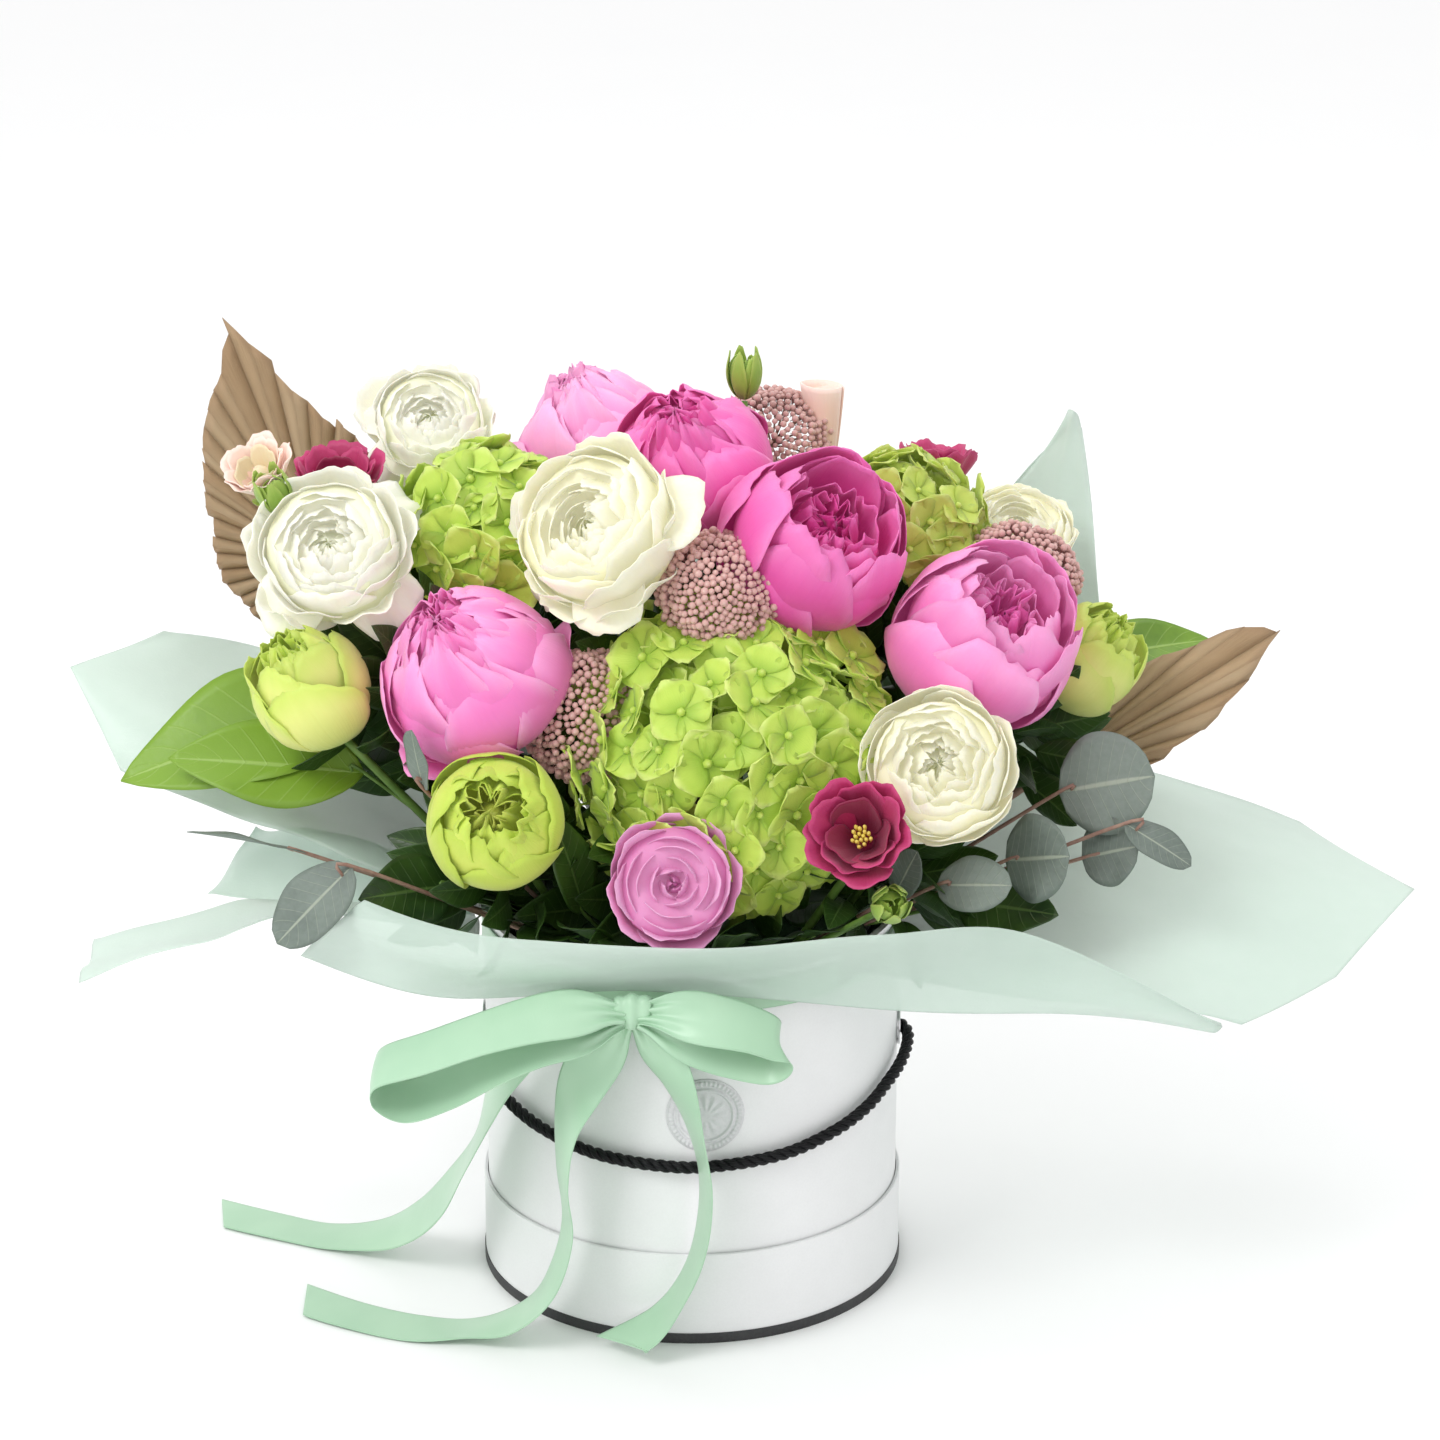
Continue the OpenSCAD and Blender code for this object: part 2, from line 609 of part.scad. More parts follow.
module bow_knot() {
    color("mediumaquamarine") translate(spot([-26, -117, -8])) scale([1, 0.6, 0.9])
        sphere(r = 9, $fn = 32);
}

module bow_loop_left() {
    color("aquamarine") strip(BOW_LEFT, ribbon_w, ribbon_t);
}

module bow_loop_right() {
    color("aquamarine") strip(BOW_RIGHT, ribbon_w, ribbon_t);
}

module ribbon_tail_left() {
    color("mediumaquamarine") strip(TAIL_LEFT, ribbon_w, ribbon_t);
}

module ribbon_tail_middle() {
    color("mediumaquamarine") strip(TAIL_MIDDLE, ribbon_w, ribbon_t);
}

module ribbon_tail_right() {
    color("mediumaquamarine") strip(TAIL_RIGHT, ribbon_w, ribbon_t);
}

// ---- film collar ----

module film(grid) {
    color([0.82, 0.9, 0.86, 0.8]) sheet(grid, film_t);
}

// ---- flowers ----

module peony(i) {
    color("hotpink") flower(PEONIES[i], peony_r * PEONY_SIZES[i], 0.95, 0.12);
}

module ranunculus(i) {
    color("ivory") flower(RANUNCULI[i], ranunculus_r * RANUNCULUS_SIZES[i], 0.7, 0.15);
}

module hydrangea(i) {
    color("yellowgreen") flower(HYDRANGEAS[i], hydrangea_r * HYDRANGEA_SIZES[i], 0.9, 0);
}

module green_rose(i) {
    color("khaki") flower(GREEN_ROSES[i], green_rose_r * GREEN_ROSE_SIZES[i], 1, 0.1);
}

module mauve_rose() {
    color("orchid") flower(MAUVE_ROSE, mauve_rose_r, 0.9, 0.1);
}

module lisianthus(i) {
    color("mediumvioletred") flower(LISIANTHUS[i], lisianthus_r * LISIANTHUS_SIZES[i], 0.9, 0.3);
}

module blush_lisianthus() {
    color("mistyrose") flower(BLUSH_LISIANTHUS, lisianthus_r * 0.83, 1, 0.2);
}

module lisianthus_buds() {
    color("olivedrab") for (b = BUDS) flower(b, 8, 1.5, 0);
}

module blush_calla() {
    color("mistyrose") flower(CALLA, 9, 2, 0);
}

module rice_flowers(places) {
    color("rosybrown") for (p = places) flower(p, rice_r, 0.7, 0);
}

// ---- leaves, twigs and palm spears ----

// Ring of short leaves between the foam and the film, in the gaps between stems.
module leaf_collar() {
    r0 = box_bore_r - 7;
    color("darkgreen") for (a = COLLAR_TURNS) rotate([0, 0, a])
        lying([r0, 0, rim_z + 8], [r0 + collar_l, 0, rim_z + 20], [-0.4, 0, 1])
            linear_extrude(leaf_t, center = true)
                polygon(leaf_edge(collar_l, collar_w, 0.3));
}

module leaf_sprig_left() {
    color("olivedrab") sprig(LEAVES_LEFT, 0.2);
}

module leaf_sprig_right() {
    color("olivedrab") sprig(LEAVES_RIGHT, 0.2);
}

module leaf_sprig_front() {
    color("darkgreen") sprig(LEAVES_FRONT, 0.2);
}

module leaf_sprig_back() {
    color("darkolivegreen") sprig(LEAVES_BACK, 0.2);
}

module eucalyptus_right() {
    color("slategray") sprig(EUCALYPTUS_RIGHT, 1);
}

module eucalyptus_left() {
    color("slategray") sprig(EUCALYPTUS_LEFT, 1);
}

module eucalyptus_front() {
    color("slategray") sprig(EUCALYPTUS_FRONT, 1);
}

module palm_left() {
    color("tan") palm(PALM_LEFT, PALM_LEFT_EDGE);
}

module palm_right() {
    color("tan") palm(PALM_RIGHT, PALM_RIGHT_EDGE);
}

lid_disc();
lid_band();
lid_trim();
box_wall();
box_base();
eyelets();
seal_label();
liner();
foam();
handle_rope();
handle_knots();
ribbon_band();
bow_knot();
bow_loop_left();
bow_loop_right();
ribbon_tail_left();
ribbon_tail_middle();
ribbon_tail_right();
film(FILM_FRONT);  // film_front
film(FILM_RIGHT);  // film_right
film(FILM_BACK_RIGHT);  // film_back_right
film(FILM_BACK);  // film_back
film(FILM_LEFT_BACK);  // film_left_back
film(FILM_LEFT_FRONT);  // film_left_front
film(FILM_LEFT_LOW);  // film_left_low
for (i = [0:4]) peony(i);
for (i = [0:4]) ranunculus(i);
for (i = [0:2]) hydrangea(i);
for (i = [0:2]) green_rose(i);
mauve_rose();
for (i = [0:2]) lisianthus(i);
blush_lisianthus();
lisianthus_buds();
blush_calla();
rice_flowers(RICE_FRONT);  // rice_flower_front
rice_flowers(RICE_BACK);  // rice_flower_back
leaf_collar();
leaf_sprig_left();
leaf_sprig_right();
leaf_sprig_front();
leaf_sprig_back();
eucalyptus_right();
eucalyptus_left();
eucalyptus_front();
palm_left();
palm_right();
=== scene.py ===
"""A round hat box that stands in its upturned lid and holds a mixed bouquet.

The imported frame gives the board, the metal and the bodies. Everything soft is made here: petals,
leaves, film, ribbon and rope. Places are in millimetres from the middle of the box, with the
height counted from the rim, and become metres in the shared frame.
"""

import json
import logging
import math
from collections.abc import Callable, Sequence
from dataclasses import dataclass, field, replace
from enum import Enum

import bmesh
import bpy
import numpy as np
from mathutils import Matrix, Vector

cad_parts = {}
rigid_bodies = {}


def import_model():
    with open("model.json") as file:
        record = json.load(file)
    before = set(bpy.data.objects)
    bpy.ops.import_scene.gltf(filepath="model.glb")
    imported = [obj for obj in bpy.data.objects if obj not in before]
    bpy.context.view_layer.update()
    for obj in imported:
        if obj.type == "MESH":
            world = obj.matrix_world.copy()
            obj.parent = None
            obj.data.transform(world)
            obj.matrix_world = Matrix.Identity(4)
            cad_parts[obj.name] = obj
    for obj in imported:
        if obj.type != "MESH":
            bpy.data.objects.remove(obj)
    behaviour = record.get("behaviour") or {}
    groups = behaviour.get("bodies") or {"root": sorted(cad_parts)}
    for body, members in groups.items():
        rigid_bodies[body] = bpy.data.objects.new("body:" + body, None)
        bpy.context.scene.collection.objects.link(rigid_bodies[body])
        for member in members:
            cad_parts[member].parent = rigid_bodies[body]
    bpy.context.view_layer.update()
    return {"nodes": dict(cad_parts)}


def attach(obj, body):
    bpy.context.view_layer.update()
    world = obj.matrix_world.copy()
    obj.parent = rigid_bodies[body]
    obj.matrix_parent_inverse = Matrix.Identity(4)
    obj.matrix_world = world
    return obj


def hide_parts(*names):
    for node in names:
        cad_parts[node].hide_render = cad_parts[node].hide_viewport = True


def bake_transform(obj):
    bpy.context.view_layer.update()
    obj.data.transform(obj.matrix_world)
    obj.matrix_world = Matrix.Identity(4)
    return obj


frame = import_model()
LOG = logging.getLogger("flower_box")

MM = 0.001
RIM_Z = 182.8  # the box's rim, over the table
FOOT_Z = 142.8  # where stems start in the foam
BOX_R = 98.0
LID_R = 100.0
LID_H = 45.0
HANDLE_Z = 120.0
SEAL_Z = 115.0
SEAL_R = 18.0
TABLE = -181.6  # the middle of a ribbon that lies on the table, from the rim
RIBBON_WIDTH = 0.025
SKIN = 0.0004  # thickness of petals and leaves in metres
GOLDEN = 2.399963  # the golden turn in radians

Point = Sequence[float]
Points = np.ndarray
Triple = tuple[float, float, float]


# ---------------------------------------------------------------- numbers


def unit(v: Point) -> Points:
    """The direction of a vector."""
    a = np.asarray(v, float)
    return a / np.linalg.norm(a)


def spot(p: Point) -> Points:
    """A bouquet place, height over the rim in millimetres, as a point in metres."""
    return np.array([p[0], p[1], p[2] + RIM_Z]) * MM


def smooth(x: Points, low: float, high: float) -> Points:
    """A soft step from 0 at low to 1 at high."""
    t = np.clip((x - low) / (high - low), 0, 1)
    return t * t * (3 - 2 * t)


def along(p: Points, s: Points) -> Points:
    """A smooth curve that passes each of the points.

    Args:
        p: The points, one a row.
        s: Shares of the way from the first point to the last, 0 to 1.

    Returns:
        One point for each share.
    """
    n = len(p) - 1
    x = np.asarray(s, float) * n
    i = np.minimum(np.floor(x).astype(int), n - 1)
    u = (x - i).reshape((-1,) + (1,) * (p.ndim - 1))
    a, b, c, d = p[np.maximum(i - 1, 0)], p[i], p[i + 1], p[np.minimum(i + 2, n)]
    return 0.5 * (
        2 * b
        + (c - a) * u
        + (2 * a - 5 * b + 4 * c - d) * u * u
        + (3 * b - a - 3 * c + d) * u**3
    )


def heading(path: Points) -> Points:
    """The direction of a path at each of its points."""
    way = np.gradient(path, axis=0)
    return way / np.linalg.norm(way, axis=1, keepdims=True)


def run_of(path: Points) -> Points:
    """How far along a path each of its points lies."""
    return np.concatenate([[0], np.cumsum(np.linalg.norm(np.diff(path, axis=0), axis=1))])


def turned(radius: Points | float, angle: Points, height: Points | float) -> Points:
    """Points round the Z axis from their radius, angle and height."""
    parts = np.broadcast_arrays(radius * np.cos(angle), radius * np.sin(angle), height)
    return np.stack(parts, axis=-1)


def put(name: str, data: bpy.types.ID) -> bpy.types.Object:
    """A new object of the scene, at the origin."""
    made = bpy.data.objects.new(name, data)
    bpy.context.scene.collection.objects.link(made)
    return made


def axes_for(direction: Point) -> Points:
    """Columns side, up and direction of a frame that looks along a direction."""
    d = unit(direction)
    side = unit(np.cross([0, 1, 0] if abs(d[2]) > 0.99 else [0, 0, 1], d))
    return np.stack([side, np.cross(d, side), d], axis=1)


# ---------------------------------------------------------------- meshes


@dataclass
class Shell:
    """Grids and tubes gathered into one mesh, with a strip coordinate and two tints.

    The map "Blade" holds across and along, 0 to 1. "layer" runs from the heart of a bloom
    to its outside, and "chance" is one number for each petal or leaf.
    """

    verts: list[Points] = field(default_factory=list)
    faces: list[Points] = field(default_factory=list)
    maps: list[Points] = field(default_factory=list)
    layer: list[Points] = field(default_factory=list)
    chance: list[Points] = field(default_factory=list)
    count: int = 0

    def grid(
        self, p: Points, layer: float = 0.0, chance: float = 0.5, ring: bool = False
    ) -> None:
        """Adds a grid of points.

        Args:
            p: Points as rows along, then across.
            layer: Where the piece lies between the heart and the outside.
            chance: Its own number.
            ring: Whether the last column meets the first.
        """
        rows, cols = p.shape[:2]
        index = np.arange(rows * cols).reshape(rows, cols) + self.count
        right = np.roll(index, -1, axis=1) if ring else index[:, 1:]
        left = index if ring else index[:, :-1]
        quads = np.stack([left[:-1], right[:-1], right[1:], left[1:]], axis=-1)
        v, u = np.meshgrid(
            np.linspace(0, 1, rows), np.linspace(0, 1, cols), indexing="ij"
        )
        self.verts.append(p.reshape(-1, 3))
        self.faces.append(quads.reshape(-1, 4))
        self.maps.append(np.stack([u, v], axis=-1).reshape(-1, 2))
        self.layer.append(np.full(rows * cols, layer))
        self.chance.append(np.full(rows * cols, chance))
        self.count += rows * cols

    def tube(
        self,
        path: Points,
        radius: Points | float,
        sides: int = 8,
        chance: float = 0.5,
    ) -> None:
        """Adds a round tube with closed ends along a path."""
        way = heading(path)
        side = unit(np.cross(way[0], [0.3, 0.9, 0.2]))
        r = np.broadcast_to(radius, len(path))
        a = np.arange(sides) * 2 * math.pi / sides
        rings = []
        for i, w in enumerate(way):
            side = unit(side - side.dot(w) * w)
            ring = np.cos(a)[:, None] * side + np.sin(a)[:, None] * np.cross(w, side)
            rings.append(path[i] + r[i] * ring)
        ends = [
            np.repeat(path[:1], sides, axis=0),
            *rings,
            np.repeat(path[-1:], sides, axis=0),
        ]
        self.grid(np.stack(ends), 0.5, chance, ring=True)

    def moved(self, turn: Points, place: Points) -> "Shell":
        """The shell turned by a matrix and moved to a place."""
        self.verts = [v @ turn.T + place for v in self.verts]
        return self

    def join(self, other: "Shell") -> None:
        """Takes in another shell."""
        self.verts += other.verts
        self.faces += [f + self.count for f in other.faces]
        self.maps += other.maps
        self.layer += other.layer
        self.chance += other.chance
        self.count += other.count

    def object(
        self,
        name: str,
        material: bpy.types.Material,
        thick: float = 0.0,
        weld: bool = False,
    ) -> bpy.types.Object:
        """Makes the Blender object.

        Args:
            name: Its name.
            material: What it is made of.
            thick: Thickness of an open sheet in metres, or 0 for a closed shape.
            weld: Whether points that meet become one.

        Returns:
            The object, at the origin.
        """
        mesh = bpy.data.meshes.new(name)
        verts, faces = np.concatenate(self.verts), np.concatenate(self.faces)
        mesh.from_pydata(verts.tolist(), [], faces.tolist())
        loops = np.zeros(len(mesh.loops), np.int32)
        mesh.loops.foreach_get("vertex_index", loops)
        blade = mesh.uv_layers.new(name="Blade")
        blade.uv.foreach_set(
            "vector", np.concatenate(self.maps)[loops].astype(np.float32).ravel()
        )
        for key, data in (("layer", self.layer), ("chance", self.chance)):
            spread = mesh.attributes.new(key, "FLOAT", "POINT")
            spread.data.foreach_set("value", np.concatenate(data).astype(np.float32))
        if weld:
            tidy_mesh(mesh)
        mesh.shade_smooth()
        mesh.materials.append(material)
        made = put(name, mesh)
        if thick:
            wall = made.modifiers.new("Wall", "SOLIDIFY")
            wall.thickness = thick
            wall.offset = 0
        return made

    def piece(
        self,
        name: str,
        finish: "Finish",
        *nodes: str,
        thick: float = 0.0,
        weld: bool = False,
        body: str = "box",
    ) -> bpy.types.Object:
        """Makes the object and settles it on its body, in place of CAD nodes."""
        return settle(self.object(name, Shelf.get(finish), thick, weld), finish, *nodes, body=body)


def tidy_mesh(mesh: bpy.types.Mesh) -> None:
    """Merges points that meet and turns the faces of a closed mesh outwards."""
    work = bmesh.new()
    work.from_mesh(mesh)
    bmesh.ops.remove_doubles(work, verts=work.verts, dist=1e-6)
    bmesh.ops.dissolve_degenerate(work, edges=work.edges, dist=1e-7)
    bmesh.ops.recalc_face_normals(work, faces=work.faces)
    work.to_mesh(mesh)
    work.free()


# ---------------------------------------------------------------- nodes


class Value:
    """A socket that takes part in sums, each of which adds its Math node."""

    def __init__(self, tree: "Tree", socket: bpy.types.NodeSocket) -> None:
        """Wraps a socket of a tree."""
        self.tree, self.socket = tree, socket

    def _math(self, kind: str, *terms: "Value | float") -> "Value":
        """Adds one Math node on some terms."""
        return self.tree.node(
            "ShaderNodeMath", {"operation": kind}, dict(enumerate(terms))
        )

    def __add__(self, other: "Value | float") -> "Value":
        """This plus other."""
        return self._math("ADD", self, other)

    __radd__ = __add__

    def __sub__(self, other: "Value | float") -> "Value":
        """This less other."""
        return self._math("SUBTRACT", self, other)

    def __rsub__(self, other: float) -> "Value":
        """Other less this."""
        return self._math("SUBTRACT", other, self)

    def __mul__(self, other: "Value | float") -> "Value":
        """This times other."""
        return self._math("MULTIPLY", self, other)

    __rmul__ = __mul__

    def __truediv__(self, other: "Value | float") -> "Value":
        """This over other."""
        return self._math("DIVIDE", self, other)

    def apply(self, kind: str, *others: "Value | float") -> "Value":
        """Any other Math operation, with this as its first term."""
        return self._math(kind, self, *others)


class Tree:
    """A node tree that is written as calls and sums."""

    def __init__(self, nodes: bpy.types.NodeTree) -> None:
        """Starts from an empty tree."""
        self.tree = nodes
        nodes.nodes.clear()

    def node(
        self,
        kind: str,
        settings: dict[str, object] | None = None,
        inputs: dict[str | int, object] | None = None,
        out: str | int = 0,
    ) -> Value:
        """Adds a node.

        Args:
            kind: Its type name.
            settings: Properties, set first. "stops" holds a ramp's (place, colour) pairs.
            inputs: Values or links for its sockets, by name or number.
            out: The output that is wanted.

        Returns:
            That output.
        """
        made = self.tree.nodes.new(kind)
        for key, value in (settings or {}).items():
            if key == "stops":
                ramp = made.color_ramp.elements
                while len(ramp) < len(value):
                    ramp.new(0.5)
                for stop, (place, colour) in zip(ramp, value):
                    stop.position, stop.color = place, (*colour[:3], 1)
            else:
                setattr(made, key, value)
        for key, value in (inputs or {}).items():
            socket = made.inputs[key]
            if isinstance(value, Value):
                self.tree.links.new(value.socket, socket)
            else:
                colour = socket.type == "RGBA" and len(value) == 3
                socket.default_value = (*value, 1) if colour else value
        return Value(self, made.outputs[out]) if made.outputs else Value(self, None)

    def mix(self, share: Value | float, a: object, b: object) -> Value:
        """A colour between a and b."""
        return self.node(
            "ShaderNodeMix", {"data_type": "RGBA"}, {0: share, 6: a, 7: b}, out=2
        )

    def vector(self, **parts: Value | float) -> Value:
        """A vector from its named parts."""
        return self.node("ShaderNodeCombineXYZ", {}, parts)

    def noise(self, where: Value, scale: float, detail: float = 3.0) -> Value:
        """A soft noise of a scale, 0 to 1."""
        return self.node(
            "ShaderNodeTexNoise",
            {},
            {"Vector": where, "Scale": scale, "Detail": detail, "Roughness": 0.55},
        )

    def ramp(self, share: Value, low: float, high: float) -> Value:
        """A share that goes from 0 at low to 1 at high."""
        return self.node(
            "ShaderNodeMapRange",
            {"interpolation_type": "SMOOTHSTEP"},
            {0: share, 1: low, 2: high, 3: 0.0, 4: 1.0},
        )


class Surface(Tree):
    """A material with one shader, whose sockets are set by name."""

    def __init__(self, name: str) -> None:
        """Starts a named material."""
        self.material = bpy.data.materials.new(name)
        self.material.use_nodes = True
        super().__init__(self.material.node_tree)

    def place(self, scale: Point = (1, 1, 1)) -> Value:
        """Object coordinates, stretched."""
        where = self.node("ShaderNodeTexCoord", out="Object")
        return self.node("ShaderNodeMapping", {}, {"Vector": where, "Scale": scale})

    def strip(self) -> tuple[Value, Value]:
        """How far across and how far along the strip map a place lies."""
        blade = self.node("ShaderNodeUVMap", {"uv_map": "Blade"})
        across, up = (self.node("ShaderNodeSeparateXYZ", {}, {0: blade}, out=k) for k in "XY")
        return across, up

    def stored(self, name: str) -> Value:
        """A number stored on the mesh."""
        return self.node("ShaderNodeAttribute", {"attribute_name": name}, out="Fac")

    def bump(self, height: Value, strength: float, distance: float) -> Value:
        """A surface normal raised by a height."""
        return self.node(
            "ShaderNodeBump",
            {},
            {"Strength": strength, "Distance": distance, "Height": height},
        )

    def finish(self, **sockets: object) -> bpy.types.Material:
        """Ends in the shader, with underscores for the spaces of its socket names."""
        named = {k.replace("_", " "): v for k, v in sockets.items()}
        shader = self.node("ShaderNodeBsdfPrincipled", {}, named)
        self.node("ShaderNodeOutputMaterial", {}, {"Surface": shader})
        return self.material


# ---------------------------------------------------------------- finishes


@dataclass(frozen=True)
class Petal:
    """Thin petals: a throat colour low down, a body, a rim, and a heart of its own."""

    name: str
    slot: str
    throat: Triple
    body: Triple
    rim: Triple
    heart: Triple
    heart_end: float = 0.3
    glow: float = 0.12
    bleed: Triple = (0.006, 0.003, 0.002)
    # painted glow: emission in the petal's own colour that lightens the shade between petals
    painted_glow: float = 0.07

    def material(self) -> bpy.types.Material:
        """Colour by place on the petal, veins that run along it, and a soft gloss."""
        s = Surface(self.name)
        across, up = s.strip()
        layer, chance = s.stored("layer"), s.stored("chance")
        colour = s.mix(s.ramp(up, 0.05, 0.6), self.throat, self.body)
        edge = s.ramp(up, 0.72, 1.0) * 0.75
        colour = s.mix(edge, colour, self.rim)
        colour = s.mix(1 - s.ramp(layer, 0.0, self.heart_end), colour, self.heart)
        cloud = s.noise(s.place(), 55.0)
        colour = s.mix((cloud - 0.35) * 0.55, colour, self.throat)
        lit = s.node("ShaderNodeHueSaturation", {}, {"Color": colour, "Value": chance * 0.16 + 0.93})
        veins = s.noise(s.vector(X=across * 46.0, Y=up * 2.2, Z=chance), 1.0, 2.0)
        folds = s.noise(s.place(), 240.0, 2.0)
        return s.finish(
            Base_Color=lit,
            Roughness=veins * 0.2 + 0.42,
            Normal=s.bump(veins + folds * 0.5, 0.35, 0.0006),
            Emission_Color=lit,
            # painted light: the petals glow with their own colour, lifting the shade in their gaps
            Emission_Strength=self.painted_glow,
            Subsurface_Weight=self.glow,
            Subsurface_Radius=self.bleed,
            Sheen_Weight=0.15,
            Sheen_Roughness=0.5,
        )


@dataclass(frozen=True)
class Leaf:
    """Leaf blades: a pale midrib and side veins on the strip map."""

    name: str
    slot: str
    dark: Triple
    light: Triple
    vein: Triple
    gloss: float = 0.35
    bloom: float = 0.0

    def material(self) -> bpy.types.Material:
        """Veins from the map, a mottled green and a waxy surface."""
        s = Surface(self.name)
        across, up = s.strip()
        off = (across - 0.5).apply("ABSOLUTE") * 2.0
        chance = s.stored("chance")
        cloud = s.noise(s.place(), 45.0)
        colour = s.mix(s.ramp(cloud + chance * 0.5, 0.35, 0.95), self.dark, self.light)
        rib = 1 - s.ramp(off, 0.02, 0.07)
        side = ((up * 9.0 - off * 1.6).apply("FRACT") - 0.5).apply("ABSOLUTE")
        side = (1 - s.ramp(side, 0.0, 0.07)) * (1 - s.ramp(off, 0.75, 0.98))
        colour = s.mix(rib.apply("MAXIMUM", side * 0.45), colour, self.vein)
        fine = s.noise(s.place(), 420.0, 2.0)
        if self.bloom:
            colour = s.mix(fine * self.bloom, colour, (0.62, 0.68, 0.64))
        return s.finish(
            Base_Color=colour,
            Roughness=fine * 0.2 + self.gloss,
            Normal=s.bump(rib * 0.8 + side * 0.5 - fine * 0.25, 0.5, 0.0005),
            Subsurface_Weight=0.06,
            Subsurface_Radius=(0.002, 0.004, 0.001),
        )


@dataclass(frozen=True)
class Plain:
    """Board, cord, foam or stalk: one colour with a grain of its own scale."""

    name: str
    slot: str
    colour: Triple
    second: Triple
    grain: float
    rough: float
    relief: float = 0.0002
    metal: float = 0.0

    def material(self) -> bpy.types.Material:
        """Two mixed colours, a fine grain and a broader unevenness."""
        s = Surface(self.name)
        fine = s.noise(s.place(), self.grain, 3.0)
        broad = s.noise(s.place(), self.grain / 14, 2.0)
        colour = s.mix(s.ramp(fine * 0.6 + broad * 0.4, 0.3, 0.7), self.colour, self.second)
        return s.finish(
            Base_Color=colour,
            Roughness=fine * 0.16 + (self.rough - 0.08),
            Metallic=self.metal,
            Normal=s.bump(fine + broad * 0.5, 0.4, self.relief),
        )


@dataclass(frozen=True)
class Satin:
    """Satin ribbon: lengthways sheen, a fine weft and a woven edge."""

    name: str = "mint_satin"
    slot: str = "ribbon_mint"

    def material(self) -> bpy.types.Material:
        """Threads across the strip, and a selvage at both edges."""
        s = Surface(self.name)
        across, up = s.strip()
        off = (across - 0.5).apply("ABSOLUTE") * 2.0
        edge = s.ramp(off, 0.9, 0.96)
        weft = s.noise(s.vector(X=across * 3.0, Y=up * 420.0), 1.0)
        cloud = s.noise(s.place(), 30.0, 2.0)
        colour = s.mix(cloud, (0.36, 0.58, 0.40), (0.47, 0.68, 0.49))
        colour = s.mix(edge * 0.35, colour, (0.28, 0.48, 0.31))
        return s.finish(
            Base_Color=colour,
            Roughness=weft * 0.16 + 0.24,
            Normal=s.bump(weft + edge * 0.8, 0.25, 0.0002),
            Sheen_Weight=0.2,
            Sheen_Roughness=0.35,
            Anisotropic=0.6,
            Subsurface_Weight=0.05,
            Subsurface_Radius=(0.003, 0.004, 0.003),
        )


@dataclass(frozen=True)
class Frost:
    """Frosted film: pale mint, half clear, with faint creases."""

    name: str = "frosted_film"
    slot: str = "film_mint"

    def material(self) -> bpy.types.Material:
        """A milky sheet whose haze varies a little."""
        s = Surface(self.name)
        haze = s.noise(s.place(), 9.0, 4.0)
        fine = s.noise(s.place(), 700.0, 2.0)
        crease = s.noise(s.place((1, 1, 3)), 16.0, 5.0)
        colour = s.mix(haze, (0.56, 0.70, 0.61), (0.68, 0.79, 0.72))
        return s.finish(
            Base_Color=colour,
            Roughness=fine * 0.14 + 0.34,
            Alpha=haze * 0.16 + 0.62,
            Normal=s.bump(crease * 3.0 + fine * 0.2, 0.3, 0.0012),
            Subsurface_Weight=0.1,
            Subsurface_Radius=(0.004, 0.005, 0.004),
        )


@dataclass(frozen=True)
class Rope:
    """Twisted cord of glossy black yarn."""

    name: str = "black_cord"
    slot: str = "rope_black"

    def material(self) -> bpy.types.Material:
        """Fine yarns that run along each strand."""
        s = Surface(self.name)
        across, up = s.strip()
        yarn = ((across * 7.0 + up * 160.0).apply("FRACT") - 0.5).apply("ABSOLUTE")
        fuzz = s.noise(s.place(), 1500.0, 2.0)
        colour = s.mix(yarn * fuzz * 2.0, (0.002, 0.002, 0.0025), (0.022, 0.022, 0.025))
        return s.finish(
            Base_Color=colour,
            Roughness=fuzz * 0.2 + 0.36,
            Normal=s.bump(yarn, 0.6, 0.0003),
            Specular_IOR_Level=0.2,
        )


@dataclass(frozen=True)
class Reed:
    """Dried palm: tan fibres that run from the base to the edge."""

    name: str = "dried_palm"
    slot: str = "palm_tan"

    def material(self) -> bpy.types.Material:
        """Streaks along each pleat, and a darker outer edge."""
        s = Surface(self.name)
        across, up = s.strip()
        chance = s.stored("chance")
        lines = s.noise(s.vector(X=across * 420.0, Y=up * 5.0), 1.0, 4.0)
        colour = s.mix(s.ramp(lines, 0.3, 0.75), (0.29, 0.17, 0.08), (0.56, 0.40, 0.24))
        colour = s.mix(chance * 0.5, colour, (0.62, 0.47, 0.30))
        colour = s.mix(s.ramp(up, 0.9, 1.0) * 0.35, colour, (0.30, 0.17, 0.09))
        return s.finish(
            Base_Color=colour,
            Roughness=lines * 0.2 + 0.55,
            Normal=s.bump(lines, 0.6, 0.0006),
            Subsurface_Weight=0.04,
        )


PINK = Petal(
    "pink_petal", "petal_pink",
    (0.72, 0.13, 0.42), (0.74, 0.17, 0.46), (0.84, 0.36, 0.63), (0.64, 0.08, 0.34), 0.45,
)
HOT_PINK = Petal(
    "hot_pink_petal", "petal_pink",
    (0.66, 0.05, 0.31), (0.72, 0.08, 0.37), (0.80, 0.22, 0.52), (0.60, 0.03, 0.25), 0.55,
)
PALE_PINK = Petal(
    "pale_pink_petal", "petal_pink",
    (0.70, 0.19, 0.44), (0.75, 0.27, 0.53), (0.84, 0.42, 0.65), (0.66, 0.15, 0.40), 0.4,
)
# ivory and cream take a stronger painted glow (0.15) that lightens the shade in their folds
IVORY = Petal(
    "ivory_petal", "petal_ivory",
    (0.70, 0.71, 0.47), (0.74, 0.735, 0.635), (0.77, 0.765, 0.70), (0.58, 0.64, 0.28), 0.36,
    0.5, (0.008, 0.007, 0.005), 0.15,
)
